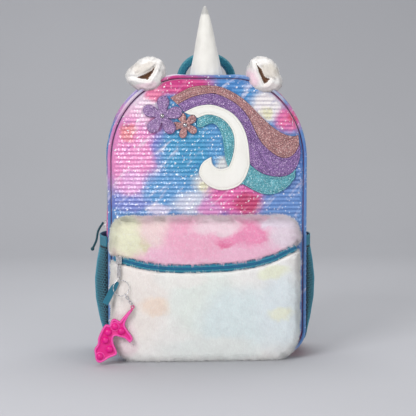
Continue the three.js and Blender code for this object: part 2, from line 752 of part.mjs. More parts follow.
function addEars() {
  [
    { name: 'ear_left', across: -EAR_LEFT_SIDE, height: EAR_LEFT_HEIGHT, turn: 0, flip: 1 },
    {
      name: 'ear_right',
      across: EAR_RIGHT_SIDE,
      height: EAR_RIGHT_HEIGHT,
      turn: THREE.MathUtils.degToRad(EAR_RIGHT_TURN),
      flip: -1,
    },
  ].forEach((ear) => {
    const outline = earPoints(EAR_OUTLINE);
    const before = -EAR_HALF_DEPTH * 2;
    const slit = toSolid(prism(earPoints(EAR_SLIT), () => before, () => before + EAR_SLIT_DEPTH));
    const pad = toSolid(pillow(outline, EAR_HALF_DEPTH, 0))
      .subtract(toSolid(pillow(outline, EAR_HALF_DEPTH, EAR_WALL)))
      .subtract(slit);
    const geometry = toGeometry(pad);
    if (ear.flip < 0) {
      geometry.scale(-1, 1, 1);
      faceOut(geometry);
    }
    geometry.rotateY(ear.turn);
    geometry.translate(ear.across, EAR_DEPTH_PLACE, ear.height);
    addMesh(ear.name, toGeometry(toSolid(geometry).subtract(frontSeat)), 'earPlush');
  });
}

function addHandle() {
  const points = [];
  const steps = 14;
  for (let i = 0; i <= steps; i += 1) {
    const angle = Math.PI * (i / steps);
    points.push(new THREE.Vector3(
      HANDLE_SIDE_PLACE - HANDLE_HALF_SPAN * Math.cos(angle),
      HANDLE_DEPTH_PLACE,
      BAG_HEIGHT - HANDLE_THICKNESS + (HANDLE_RISE + HANDLE_THICKNESS) * Math.sin(angle) ** 0.8,
    ));
  }
  const strip = band(points, () => HANDLE_WIDTH, HANDLE_THICKNESS, AXIS_Y);
  addMesh('handle', toGeometry(toSolid(strip).subtract(shellRaised)), 'webbing');
}

// Applique on the front panel
// Places are shares of the bag's half width and of its height.
function panelPoint(row) {
  return new THREE.Vector2(row.across * BAG_HALF_WIDTH, row.up * BAG_HEIGHT);
}

const MANE_TOP = [
  { across: -0.373, up: 0.916 }, { across: -0.237, up: 0.943 }, { across: -0.127, up: 0.958 },
  { across: 0.049, up: 0.96 }, { across: 0.186, up: 0.948 }, { across: 0.358, up: 0.912 },
  { across: 0.49, up: 0.865 }, { across: 0.618, up: 0.822 }, { across: 0.735, up: 0.794 },
  { across: 0.839, up: 0.783 }, { across: 0.9, up: 0.788 },
];
const ROSE_PURPLE = [
  { across: -0.297, up: 0.893 }, { across: -0.176, up: 0.917 }, { across: -0.012, up: 0.931 },
  { across: 0.098, up: 0.929 }, { across: 0.271, up: 0.899 }, { across: 0.392, up: 0.855 },
  { across: 0.461, up: 0.806 }, { across: 0.533, up: 0.759 }, { across: 0.665, up: 0.718 },
  { across: 0.778, up: 0.706 }, { across: 0.866, up: 0.724 }, { across: 0.912, up: 0.757 },
];
const PURPLE_WHITE = [
  { across: -0.235, up: 0.866 }, { across: -0.124, up: 0.886 }, { across: 0.025, up: 0.894 },
  { across: 0.16, up: 0.88 }, { across: 0.271, up: 0.855 }, { across: 0.358, up: 0.81 },
  { across: 0.402, up: 0.753 }, { across: 0.415, up: 0.685 },
];
const PURPLE_BOTTOM = [
  { across: 0.415, up: 0.685 }, { across: 0.49, up: 0.663 }, { across: 0.576, up: 0.648 },
  { across: 0.69, up: 0.641 }, { across: 0.794, up: 0.646 }, { across: 0.872, up: 0.668 },
  { across: 0.918, up: 0.706 }, { across: 0.922, up: 0.745 },
];
const WHITE_CURL = [
  { across: 0.415, up: 0.685 }, { across: 0.384, up: 0.648 }, { across: 0.32, up: 0.614 },
  { across: 0.209, up: 0.597 }, { across: 0.1, up: 0.596 }, { across: 0.0, up: 0.611 },
  { across: -0.078, up: 0.64 }, { across: -0.088, up: 0.668 }, { across: -0.045, up: 0.696 },
  { across: 0.034, up: 0.712 },
];
const CURL_INSIDE = [
  { across: 0.034, up: 0.712 }, { across: 0.04, up: 0.69 }, { across: 0.078, up: 0.675 },
  { across: 0.13, up: 0.669 }, { across: 0.2, up: 0.676 },
];
const WHITE_TEAL = [
  { across: 0.2, up: 0.676 }, { across: 0.232, up: 0.7 }, { across: 0.262, up: 0.749 },
  { across: 0.245, up: 0.799 }, { across: 0.167, up: 0.837 }, { across: 0.069, up: 0.855 },
  { across: -0.02, up: 0.858 }, { across: -0.1, up: 0.846 },
];
const TEAL_INSIDE = [
  { across: -0.1, up: 0.846 }, { across: -0.112, up: 0.82 }, { across: -0.07, up: 0.812 },
  { across: 0.008, up: 0.826 }, { across: 0.075, up: 0.824 }, { across: 0.122, up: 0.799 },
  { across: 0.147, up: 0.768 }, { across: 0.16, up: 0.731 }, { across: 0.175, up: 0.699 },
  { across: 0.2, up: 0.676 },
];
const TEAL_OUTER_BOTTOM = [
  { across: 0.872, up: 0.64 }, { across: 0.814, up: 0.612 }, { across: 0.725, up: 0.588 },
  { across: 0.603, up: 0.578 }, { across: 0.49, up: 0.587 }, { across: 0.392, up: 0.606 },
  { across: 0.34, up: 0.617 },
];

// Points of the white curl and of the purple lock's bottom edge that the outer teal lock runs beside.
const CURL_SHARED = 5;
const BOTTOM_SHARED = 11;
const CURVE_STEPS = 2;

function curvePoints(table) {
  const points = table.map(panelPoint);
  return new THREE.SplineCurve(points).getPoints((points.length - 1) * CURVE_STEPS);
}

// Pulls an outline in by a distance, moving each corner along the bisector of its two sides.
function pullIn(outline, distance) {
  const area = THREE.ShapeUtils.area(outline);
  const turn = area > 0 ? 1 : -1;
  return outline.map((p, i) => {
    const before = outline[(i + outline.length - 1) % outline.length];
    const after = outline[(i + 1) % outline.length];
    const along = after.clone().sub(before).normalize();
    return new THREE.Vector2(p.x - along.y * distance * turn, p.y + along.x * distance * turn);
  });
}

function dropRepeats(outline) {
  return outline.filter((p, i) => p.distanceTo(outline[(i + 1) % outline.length]) > 0.05);
}

// A felt lock that follows the domed panel, cut to seat on the shell and to stop at the flowers.
function feltLock(outline) {
  let lock = feltSolid(pullIn(dropRepeats(outline), LOCK_GAP / 2), FELT_THICKNESS).subtract(frontSeat);
  FLOWERS.forEach((flower) => { lock = lock.subtract(flowerCutter(flower)); });
  return lock;
}

function addMane() {
  const top = curvePoints(MANE_TOP);
  const rosePurple = curvePoints(ROSE_PURPLE);
  const purpleWhite = curvePoints(PURPLE_WHITE);
  const purpleBottom = curvePoints(PURPLE_BOTTOM);
  const curl = curvePoints(WHITE_CURL);
  const curlInside = curvePoints(CURL_INSIDE);
  const whiteTeal = curvePoints(WHITE_TEAL);
  const tealInside = curvePoints(TEAL_INSIDE);
  const tealBottom = curvePoints(TEAL_OUTER_BOTTOM);
  const reversed = (points) => points.slice().reverse();
  const curlBeside = curl.slice(0, CURL_SHARED);
  const bottomShared = purpleBottom.slice(0, BOTTOM_SHARED);
  const locks = [
    ['mane_rose', [...top, ...reversed(rosePurple)], 'roseGlitter'],
    ['mane_purple', [...rosePurple, ...reversed(purpleBottom), ...reversed(purpleWhite)], 'purpleGlitter'],
    ['mane_white', [...purpleWhite, ...curl, ...curlInside, ...whiteTeal], 'whiteFelt'],
    ['mane_teal_inner', [...whiteTeal, ...tealInside], 'tealGlitter'],
    ['mane_teal_outer', [...bottomShared, ...tealBottom, ...reversed(curlBeside)], 'tealGlitter'],
  ];
  locks.forEach(([name, outline, material]) => addMesh(name, toGeometry(feltLock(outline)), material));
}

// Flowers are five round petals round a middle, with notches between them.
const PETALS = 5;
const PETAL_STEPS = 7;
const PETAL_NOTCH = 0.68;
const PETAL_FULLNESS = 0.6;

function flowerOutline(flower, radius) {
  const centre = panelPoint(flower);
  const turn = THREE.MathUtils.degToRad(flower.turn);
  const points = [];
  for (let step = 0; step < PETALS * PETAL_STEPS; step += 1) {
    const share = (step % PETAL_STEPS) / PETAL_STEPS;
    const angle = turn + (step / PETAL_STEPS / PETALS) * Math.PI * 2;
    const reach = radius * (1 - PETAL_NOTCH + PETAL_NOTCH * Math.sin(Math.PI * share) ** PETAL_FULLNESS);
    points.push(new THREE.Vector2(centre.x + Math.cos(angle) * reach, centre.y + Math.sin(angle) * reach));
  }
  return points;
}

// A felt solid over an outline, its front raised above the panel by a thickness.
function feltSolid(outline, thickness) {
  const front = (x, z) => panelDepth(x, z) - CLEARANCE - thickness;
  const back = (x, z) => panelDepth(x, z) + FELT_THICKNESS;
  return toSolid(prism(outline, front, back));
}

// Turn is in degrees.
const FLOWERS = [
  { name: 'large', across: -0.449, up: 0.854, radius: FLOWER_LARGE_RADIUS, turn: 50, felt: 'purpleGlitter' },
  { name: 'small', across: -0.225, up: 0.822, radius: FLOWER_SMALL_RADIUS, turn: 4, felt: 'roseGlitter' },
];

function flowerCutter(flower) {
  const outline = flowerOutline(flower, flower.radius + LOCK_GAP * 2);
  return feltSolid(outline, FLOWER_THICKNESS * 2);
}

function stud() {
  const profile = [
    new THREE.Vector2(0, 0),
    new THREE.Vector2(STUD_RADIUS, 0),
    new THREE.Vector2(STUD_RADIUS * 0.86, STUD_HEIGHT * 0.55),
    new THREE.Vector2(STUD_RADIUS * 0.5, STUD_HEIGHT * 0.9),
    new THREE.Vector2(0, STUD_HEIGHT),
  ];
  const dome = new THREE.LatheGeometry(profile, 12);
  dome.rotateX(Math.PI);
  return dome;
}

function addFlowers() {
  FLOWERS.forEach((flower, i) => {
    const outline = flowerOutline(flower, flower.radius);
    let petals = feltSolid(outline, FLOWER_THICKNESS).subtract(frontSeat);
    if (i > 0) petals = petals.subtract(flowerCutter(FLOWERS[i - 1]));
    addMesh(`flower_${flower.name}`, toGeometry(petals), flower.felt);
    const centre = panelPoint(flower);
    const dome = stud();
    dome.translate(centre.x, panelDepth(centre.x, centre.y) - FLOWER_THICKNESS - CLEARANCE * 2, centre.y);
    addMesh(`stud_${flower.name}`, dome, 'metal');
  });
}

// Hanging pull on the front slider. The tab's crossbar turns under the slider's bail.
function frontSurface(solid, x, z) {
  const mesh = new THREE.Mesh(toGeometry(solid), new THREE.MeshBasicMaterial({ side: THREE.DoubleSide }));
  const far = BAG_DEPTH * 4;
  const ray = new THREE.Raycaster(new THREE.Vector3(x, -far, z), AXIS_Y);
  return ray.intersectObject(mesh)[0].point.y;
}

function zipperHeightAt(x) {
  const curve = zipperCurve();
  const i = curve.findIndex((p) => p.x > x);
  const share = (x - curve[i - 1].x) / (curve[i].x - curve[i - 1].x);
  return lerp(curve[i - 1].y, curve[i].y, share);
}

const SLIDER_HEIGHT = zipperHeightAt(SLIDER_X);
const SLIDER_FRONT = frontSurface(pocketOuter, SLIDER_X, SLIDER_HEIGHT) - SLIDER_PROUD;
const BAIL_FOOT = SLIDER_HEIGHT - BAIL_LENGTH / 2;
const PIVOT = new THREE.Vector3(
  SLIDER_X,
  SLIDER_FRONT - BAIL_INNER_DEPTH / 2,
  BAIL_FOOT + BAIL_THICKNESS + CLEARANCE + TAB_THICKNESS / 2,
);

function addFrontSlider() {
  const block = (halfWidth, front, back, low, high) => toSolid(boxGeometry(
    new THREE.Vector3(SLIDER_X - halfWidth, front, low),
    new THREE.Vector3(SLIDER_X + halfWidth, back, high),
  ));
  const half = BAIL_WIDTH / 2;
  const low = BAIL_FOOT;
  const high = BAIL_FOOT + BAIL_LENGTH;
  const bailFront = SLIDER_FRONT - BAIL_INNER_DEPTH - BAIL_THICKNESS;
  const bailRoot = SLIDER_FRONT + BAIL_THICKNESS / 2;
  const body = block(
    SLIDER_WIDTH / 2,
    SLIDER_FRONT,
    SLIDER_FRONT + SLIDER_PROUD * 3,
    SLIDER_HEIGHT - SLIDER_LENGTH / 2,
    SLIDER_HEIGHT + SLIDER_LENGTH / 2,
  ).subtract(toSolid(pocketForm(-CLEARANCE)));
  const slider = body
    .add(block(half, bailFront, bailFront + BAIL_THICKNESS, low, high))
    .add(block(half, bailFront, bailRoot, low, low + BAIL_THICKNESS))
    .add(block(half, bailFront, bailRoot, high - BAIL_THICKNESS, high));
  addMesh('front_slider', toGeometry(slider), 'metal');
}

function addPullTab(parent) {
  const top = TAB_THICKNESS / 2;
  const bottom = top - TAB_LENGTH;
  const half = TAB_WIDTH / 2;
  const shape = new THREE.Shape();
  shape.moveTo(-half, top);
  shape.lineTo(-half, bottom + half);
  shape.absarc(0, bottom + half, half, Math.PI, Math.PI * 2, false);
  shape.lineTo(half, top);
  shape.closePath();
  const window = new THREE.Path();
  const edge = TAB_WINDOW_WIDTH / 2;
  window.moveTo(-edge, -top);
  window.lineTo(edge, -top);
  window.lineTo(edge, -top - TAB_WINDOW_LENGTH);
  window.lineTo(-edge, -top - TAB_WINDOW_LENGTH);
  window.closePath();
  const hole = new THREE.Path();
  hole.absarc(0, bottom + half, TAB_HOLE_RADIUS, 0, Math.PI * 2, true);
  shape.holes.push(window, hole);
  const plate = { depth: TAB_THICKNESS, bevelEnabled: false, curveSegments: 8 };
  const tab = new THREE.ExtrudeGeometry(shape, plate);
  tab.rotateX(Math.PI / 2);
  tab.translate(0, TAB_THICKNESS / 2, 0);
  addMesh('front_pull_tab', toGeometry(toSolid(tab)), 'metal', parent);
  return bottom + half;
}

const LINK_SIDES = 5;
const LINK_STEPS = 12;

// A closed oval of wire in the plane of two axes.
function chainLink(centre, along, beside) {
  const reach = LINK_LENGTH / 2 - LINK_WIRE;
  const side = LINK_WIDTH / 2 - LINK_WIRE;
  const path = Array.from({ length: LINK_STEPS }, (unused, i) => {
    const angle = (i / LINK_STEPS) * Math.PI * 2;
    const straight = Math.sign(Math.cos(angle)) * (reach - side);
    return centre.clone()
      .addScaledVector(along, straight + side * Math.cos(angle))
      .addScaledVector(beside, side * Math.sin(angle));
  });
  return bar(path, LINK_WIRE, LINK_SIDES, true, along.clone().cross(beside));
}

// Outline of the charm from the tip of its horn, clockwise, as shares of its width and height.
const CHARM_OUTLINE = [
  { across: 0.955, up: 1.0 }, { across: 0.85, up: 0.95 }, { across: 0.64, up: 0.76 },
  { across: 0.49, up: 0.82 }, { across: 0.41, up: 0.77 }, { across: 0.39, up: 0.69 },
  { across: 0.28, up: 0.71 }, { across: 0.21, up: 0.64 }, { across: 0.14, up: 0.53 },
  { across: 0.09, up: 0.44 }, { across: 0.1, up: 0.34 }, { across: 0.0, up: 0.26 },
  { across: 0.03, up: 0.15 }, { across: 0.05, up: 0.05 }, { across: 0.15, up: 0.0 },
  { across: 0.29, up: 0.05 }, { across: 0.4, up: 0.11 }, { across: 0.57, up: 0.15 },
  { across: 0.61, up: 0.2 }, { across: 0.49, up: 0.37 }, { across: 0.48, up: 0.47 },
  { across: 0.54, up: 0.51 }, { across: 0.68, up: 0.48 }, { across: 0.78, up: 0.47 },
  { across: 0.91, up: 0.38 }, { across: 1.0, up: 0.44 }, { across: 0.96, up: 0.51 },
  { across: 0.82, up: 0.63 }, { across: 0.75, up: 0.72 }, { across: 0.89, up: 0.9 },
  { across: 0.97, up: 0.97 },
];
const CHARM_BUBBLES = [
  { across: 0.52, up: 0.67 }, { across: 0.35, up: 0.565 }, { across: 0.29, up: 0.42 },
  { across: 0.4, up: 0.26 }, { across: 0.16, up: 0.13 }, { across: 0.69, up: 0.59 },
];

// The charm hangs from an eye at the tip of its horn, which is its own origin.
function addCharm(parent, place) {
  const tip = CHARM_OUTLINE[0];
  const spot = (row) => new THREE.Vector2(
    (row.across - tip.across) * CHARM_WIDTH,
    (row.up - tip.up) * CHARM_HEIGHT,
  );
  const half = CHARM_THICKNESS / 2;
  let charm = toSolid(prism(CHARM_OUTLINE.map(spot), () => -half, () => half));
  CHARM_BUBBLES.forEach((row) => {
    const dome = new THREE.SphereGeometry(CHARM_BUBBLE_RADIUS, 10, 5);
    dome.scale(1, (CHARM_BUBBLE_HEIGHT + half) / CHARM_BUBBLE_RADIUS, 1);
    const at = spot(row);
    dome.translate(at.x, 0, at.y);
    const front = toSolid(boxGeometry(
      new THREE.Vector3(-CHARM_WIDTH * 2, -CHARM_WIDTH, -CHARM_HEIGHT * 2),
      new THREE.Vector3(CHARM_WIDTH, 0, CHARM_HEIGHT),
    ));
    charm = charm.add(toSolid(dome).intersect(front));
  });
  const eye = new THREE.TorusGeometry(CHARM_EYE_RADIUS, CHARM_EYE_WIRE, 6, 12);
  eye.rotateX(Math.PI / 2);
  eye.translate(0, 0, CHARM_EYE_RADIUS);
  const geometry = toGeometry(charm.add(toSolid(eye)));
  geometry.translate(0, 0, -CHARM_EYE_RADIUS * 2);
  geometry.rotateY(THREE.MathUtils.degToRad(CHARM_TURN));
  geometry.translate(place.x, place.y, place.z);
  addMesh('charm', geometry, 'charm', parent);
}

function addHangingPull() {
  const pull = new THREE.Group();
  pull.position.copy(PIVOT);
  root.add(pull);
  const holeHeight = addPullTab(pull);

  const jumpTop = holeHeight - TAB_HOLE_RADIUS + JUMP_RING_WIRE + CLEARANCE;
  const jumpCentre = jumpTop - JUMP_RING_RADIUS;
  const jumpRing = new THREE.TorusGeometry(JUMP_RING_RADIUS, JUMP_RING_WIRE, 6, 14);
  jumpRing.rotateY(Math.PI / 2);
  jumpRing.translate(0, 0, jumpCentre);
  addMesh('pull_jump_ring', toGeometry(toSolid(jumpRing)), 'metal', pull);

  const ringTop = jumpCentre - JUMP_RING_RADIUS + JUMP_RING_WIRE + SPLIT_RING_WIRE + CLEARANCE;
  const ringCentreHeight = ringTop - Math.sqrt(SPLIT_RING_RADIUS ** 2 - SPLIT_RING_OFFSET ** 2);
  const splitRing = new THREE.TorusGeometry(SPLIT_RING_RADIUS, SPLIT_RING_WIRE, 6, 26);
  const tilt = THREE.MathUtils.degToRad(SPLIT_RING_TILT);
  const tilted = (p) => {
    const drop = ringTop - p.z;
    return new THREE.Vector3(p.x, p.y - drop * Math.sin(tilt), ringTop - drop * Math.cos(tilt));
  };
  splitRing.rotateX(Math.PI / 2 - tilt);
  const ringMiddle = tilted(new THREE.Vector3(SPLIT_RING_OFFSET, 0, ringCentreHeight));
  splitRing.translate(ringMiddle.x, ringMiddle.y, ringMiddle.z);
  addMesh('split_ring', toGeometry(toSolid(splitRing)), 'metal', pull);

  const ribbonTop = new THREE.Vector3(
    -JUMP_RING_WIRE * 2,
    SPLIT_RING_WIRE + CLEARANCE,
    ringTop - SPLIT_RING_WIRE - CLEARANCE - RIBBON_WIDTH * 0.25,
  );
  const ribbonPath = smoothPath([
    ribbonTop,
    ribbonTop.clone().add(new THREE.Vector3(-RIBBON_LENGTH * 0.22, 0, -RIBBON_LENGTH * 0.3)),
    ribbonTop.clone().add(new THREE.Vector3(-RIBBON_LENGTH * 0.4, 0, -RIBBON_LENGTH * 0.66)),
    ribbonTop.clone().add(new THREE.Vector3(-RIBBON_LENGTH * 0.52, 0, -RIBBON_LENGTH * 0.84)),
  ], 6);
  const ribbonWidth = (share) => RIBBON_WIDTH * (0.45 + 0.55 * Math.min(share * 4, 1));
  addMesh('pull_ribbon', band(ribbonPath, ribbonWidth, RIBBON_THICKNESS, AXIS_Y, true), 'webbing', pull);

  const slope = THREE.MathUtils.degToRad(CHAIN_SLOPE);
  const along = new THREE.Vector3(Math.cos(slope), 0, -Math.sin(slope));
  const beside = along.clone().cross(AXIS_Y);
  const wireToWire = LINK_WIRE * 2 + CLEARANCE;
  const reach = LINK_LENGTH / 2 - LINK_WIRE;
  const ringSpot = tilted(along.clone().multiplyScalar(SPLIT_RING_RADIUS)
    .add(new THREE.Vector3(SPLIT_RING_OFFSET, 0, ringCentreHeight)));
  const first = ringSpot.addScaledVector(along, reach - SPLIT_RING_WIRE - LINK_WIRE - CLEARANCE);
  const pitch = reach * 2 - wireToWire;
  for (let i = 0; i < LINK_COUNT; i += 1) {
    const centre = first.clone().addScaledVector(along, i * pitch);
    const plane = i % 2 === 0 ? AXIS_Y : beside;
    addMesh(`chain_link_${i + 1}`, chainLink(centre, along, plane), 'metal', pull);
  }
  const eyeTop = first.clone()
    .addScaledVector(along, (LINK_COUNT - 1) * pitch + reach - LINK_WIRE - CHARM_EYE_WIRE - CLEARANCE);
  eyeTop.z += CHARM_EYE_WIRE;
  addCharm(pull, eyeTop);
}

// Straps on the back
// Centre line of a shoulder strap, as shares of its drop, its sideways spread and its bow off the panel.
const STRAP_LINE = [
  { drop: 0, side: 0, bow: 0 }, { drop: 0.1, side: 0.08, bow: 0.55 }, { drop: 0.3, side: 0.4, bow: 1 },
  { drop: 0.55, side: 0.78, bow: 1 }, { drop: 0.8, side: 0.97, bow: 0.8 }, { drop: 1, side: 1, bow: 0.6 },
];

function addStraps() {
  [['left', -1], ['right', 1]].forEach(([name, side]) => {
    const rest = BACK + CLEARANCE + STRAP_THICKNESS / 2;
    const line = STRAP_LINE.map((row) => new THREE.Vector3(
      side * (STRAP_SIDE + STRAP_SPREAD * row.side),
      rest + STRAP_BOW * row.bow,
      STRAP_TOP_HEIGHT - STRAP_DROP * row.drop,
    ));
    const taper = (share) => STRAP_WIDTH * (share < 0.8 ? 1 : lerp(1, 0.5, (share - 0.8) / 0.2));
    addMesh(`strap_${name}`, toGeometry(
      toSolid(band(smoothPath(line, 16), taper, STRAP_THICKNESS, AXIS_X)).subtract(shellRaised),
    ), 'webbing');

    const end = line[line.length - 1];
    const buckleTop = end.z - CLEARANCE * 3;
    const x = end.x;
    const y = end.y;
    addMesh(`buckle_${name}`, buckle(x, y, buckleTop), 'buckle');

    const slot = buckleTop - BUCKLE_HEIGHT + BUCKLE_BAR + BUCKLE_SLOT_HEIGHT / 2;
    const flat = BACK + CLEARANCE + PIPING_RADIUS * 2 + WEBBING_THICKNESS;
    const route = smoothPath([
      new THREE.Vector3(x, y + BUCKLE_THICKNESS * 2, slot + BUCKLE_SLOT_HEIGHT * 0.7),
      new THREE.Vector3(x, y + BUCKLE_THICKNESS * 0.6, slot + BUCKLE_SLOT_HEIGHT * 0.08),
      new THREE.Vector3(x, y - BUCKLE_THICKNESS * 0.6, slot - BUCKLE_SLOT_HEIGHT * 0.08),
      new THREE.Vector3(x, y - BUCKLE_THICKNESS * 1.7, slot - BUCKLE_BAR * 1.6),
      new THREE.Vector3(x + side * WEBBING_WIDTH * 0.9, lerp(flat, y, 0.4), slot * 0.72),
      new THREE.Vector3(x + side * WEBBING_WIDTH * 1.6, flat, slot * 0.5),
      new THREE.Vector3(x + side * WEBBING_WIDTH * 1.3, BACK + CLEARANCE + WEBBING_THICKNESS, slot * 0.3),
    ], 18);
    const turned = band(route, () => WEBBING_WIDTH, WEBBING_THICKNESS, AXIS_X);
    addMesh(`webbing_${name}`, toGeometry(toSolid(turned).subtract(shellRaised)), 'webbing');
  });
}

// A flat buckle with two slots and bars between them.
function buckle(x, y, top) {
  const block = (halfWidth, halfDepth, low, high) => toSolid(boxGeometry(
    new THREE.Vector3(x - halfWidth, y - halfDepth, low),
    new THREE.Vector3(x + halfWidth, y + halfDepth, high),
  ));
  let plate = block(BUCKLE_WIDTH / 2, BUCKLE_THICKNESS / 2, top - BUCKLE_HEIGHT, top);
  const slotTops = [top - BUCKLE_BAR, top - BUCKLE_HEIGHT + BUCKLE_BAR + BUCKLE_SLOT_HEIGHT];
  slotTops.forEach((high) => {
    const low = high - BUCKLE_SLOT_HEIGHT;
    plate = plate.subtract(block(BUCKLE_WIDTH / 2 - BUCKLE_BAR, BUCKLE_THICKNESS, low, high));
  });
  return toGeometry(plate);
}

addMainBag();
addPiping();
addMainSlider();
addFrontPocket();
addSidePockets();
addHorn();
addEars();
addHandle();
addMane();
addFlowers();
addFrontSlider();
addHangingPull();
addStraps();

export default root;
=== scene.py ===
# Kids unicorn backpack: camera, lights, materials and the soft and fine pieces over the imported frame.
# Lengths in tables and functions are millimetres. add() turns them into metres.
import math

import bmesh
import bpy
import numpy as np
from mathutils import Matrix, Vector, geometry, kdtree
from mathutils.bvhtree import BVHTree


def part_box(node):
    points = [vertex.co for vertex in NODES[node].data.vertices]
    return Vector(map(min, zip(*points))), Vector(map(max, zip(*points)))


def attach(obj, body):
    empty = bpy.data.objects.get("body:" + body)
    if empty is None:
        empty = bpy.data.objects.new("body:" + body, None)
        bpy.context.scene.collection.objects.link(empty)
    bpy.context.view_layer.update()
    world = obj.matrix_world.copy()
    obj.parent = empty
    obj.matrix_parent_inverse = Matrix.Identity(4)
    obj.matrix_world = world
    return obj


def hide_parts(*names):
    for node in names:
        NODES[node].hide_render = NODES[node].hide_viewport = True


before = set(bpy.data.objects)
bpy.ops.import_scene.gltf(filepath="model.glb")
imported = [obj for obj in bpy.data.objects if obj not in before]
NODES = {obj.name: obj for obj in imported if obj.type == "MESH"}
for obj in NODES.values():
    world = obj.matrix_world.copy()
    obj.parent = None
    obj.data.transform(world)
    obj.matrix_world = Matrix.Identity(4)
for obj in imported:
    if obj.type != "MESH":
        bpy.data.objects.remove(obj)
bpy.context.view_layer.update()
SCENE = bpy.context.scene
MM = 0.001
SEED = 11

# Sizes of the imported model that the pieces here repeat
HALF_WIDTH, HEIGHT, HALF_DEPTH = 143.0, 404.0, 55.0
EDGE_INSET, SHOULDER_WIDTH, SHOULDER_DROP, BOTTOM_RADIUS = 8.0, 103.0, 116.0, 36.0
PANEL_DOME, GROOVE_REACH, CLEARANCE = 6.0, 6.4, 0.3
ZIPPER_Y, ZIPPER_END, TAPE_REACH = 10.0, 174.0, 5.6
POCKET_HALF, POCKET_X = 132.0, -4.0


# Helpers
def srgb(r, g, b):
    def linear(c):
        c /= 255
        return c / 12.92 if c <= 0.04045 else ((c + 0.055) / 1.055) ** 2.4
    return (linear(r), linear(g), linear(b), 1.0)


def smoothstep(a, b, x):
    t = np.clip((x - a) / (b - a), 0, 1)
    return t * t * (3 - 2 * t)


def ripple(points, wavelength, seed=0):
    """Smooth noise from -1 to 1 at each point, a sum of waves in seeded directions."""
    waves = np.random.default_rng(SEED + seed)
    total = np.zeros(len(points))
    for _ in range(7):
        direction = waves.normal(size=3)
        direction /= np.linalg.norm(direction)
        k = 2 * math.pi / (wavelength * waves.uniform(0.6, 1.6))
        total += np.sin(points @ direction * k + waves.uniform(0, 2 * math.pi))
    return np.clip(total / 3.2, -1, 1)


def add(name, verts, faces, material, body="bag", replaces=(), slot=None, smooth=True):
    mesh = bpy.data.meshes.new(name)
    mesh.from_pydata((np.asarray(verts, float) * MM).tolist(), [], [tuple(map(int, f)) for f in faces])
    mesh.validate()
    return finish_piece(name, mesh, material, body, replaces, slot, smooth)


def finish_piece(name, mesh, material, body="bag", replaces=(), slot=None, smooth=True):
    mesh.materials.clear()
    mesh.materials.append(material)
    mesh.polygons.foreach_set("use_smooth", [smooth] * len(mesh.polygons))
    obj = bpy.data.objects.new(name, mesh)
    SCENE.collection.objects.link(obj)
    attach(obj, body)
    if replaces:
        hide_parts(*replaces)
    return obj


def applied(temp, name):
    """The mesh of a temporary object with its modifiers applied. The object is removed."""
    SCENE.collection.objects.link(temp)
    bpy.context.view_layer.update()
    mesh = bpy.data.meshes.new_from_object(temp.evaluated_get(bpy.context.evaluated_depsgraph_get()))
    bpy.data.objects.remove(temp)
    mesh.name = name
    return mesh


def soften(node, name, voxel, rounds, plug=None):
    """A remeshed and smoothed copy of a node's mesh. An ellipsoid with plug's radii fills its middle."""
    temp = bpy.data.objects.new(name, NODES[node].data.copy())
    if plug:
        low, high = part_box(node)
        place = Matrix.Translation((low + high) / 2) @ Matrix.Diagonal([r * MM for r in plug] + [1])
        bm = bmesh.new()
        bm.from_mesh(temp.data)
        bmesh.ops.create_uvsphere(bm, u_segments=36, v_segments=18, radius=1, matrix=place)
        bm.to_mesh(temp.data)
        bm.free()
    remesh = temp.modifiers.new("remesh", "REMESH")
    remesh.mode = "VOXEL"
    remesh.voxel_size = voxel * MM
    smooth = temp.modifiers.new("smooth", "SMOOTH")
    smooth.iterations = rounds
    return applied(temp, name)


def coordinates(mesh):
    co = np.zeros(len(mesh.vertices) * 3)
    mesh.vertices.foreach_get("co", co)
    return co.reshape(-1, 3) / MM


def surface_tree(mesh):
    faces = [tuple(p.vertices) for p in mesh.polygons]
    return BVHTree.FromPolygons([tuple(v) for v in coordinates(mesh)], faces)


def tube(path, radius, sides=10, closed=False, seed=(0, 1, 0)):
    """Vertices and faces of a round tube along a path. The seed direction keeps it from twisting."""
    path = np.asarray(path, float)
    count = len(path)
    ahead = np.roll(path, -1, 0) - np.roll(path, 1, 0)
    if not closed:
        ahead[0] = path[1] - path[0]
        ahead[-1] = path[-1] - path[-2]
    ahead /= np.linalg.norm(ahead, axis=1)[:, None]
    across = np.cross(np.asarray(seed, float), ahead)
    across /= np.linalg.norm(across, axis=1)[:, None]
    up = np.cross(ahead, across)
    radius = np.broadcast_to(radius, count)
    verts = []
    for k in range(sides):
        a = 2 * math.pi * k / sides
        verts.append(path + across * (math.cos(a) * radius)[:, None] + up * (math.sin(a) * radius)[:, None])
    verts = np.stack(verts, 1).reshape(-1, 3)
    if not closed:
        return verts, capped_grid(count, sides)
    last = (count - 1) * sides
    return verts, grid_faces(count, sides) + [
        (last + k, last + (k + 1) % sides, (k + 1) % sides, k) for k in range(sides)]


def merge(parts):
    """Joins several (vertices, faces) into one."""
    verts, faces, start = [], [], 0
    for v, f in parts:
        verts.append(np.asarray(v, float))
        faces.extend(tuple(i + start for i in face) for face in f)
        start += len(v)
    return np.concatenate(verts), faces


def grid_faces(rows, columns):
    """Faces between closed rings of vertices, one ring after another."""
    faces = []
    for r in range(rows - 1):
        for c in range(columns):
            d = (c + 1) % columns
            faces.append((r * columns + c, r * columns + d, (r + 1) * columns + d, (r + 1) * columns + c))
    return faces


def capped_grid(rows, columns):
    """The same, closed by a face over the first ring and one over the last."""
    last = (rows - 1) * columns
    return grid_faces(rows, columns) + [tuple(reversed(range(columns))), tuple(range(last, last + columns))]


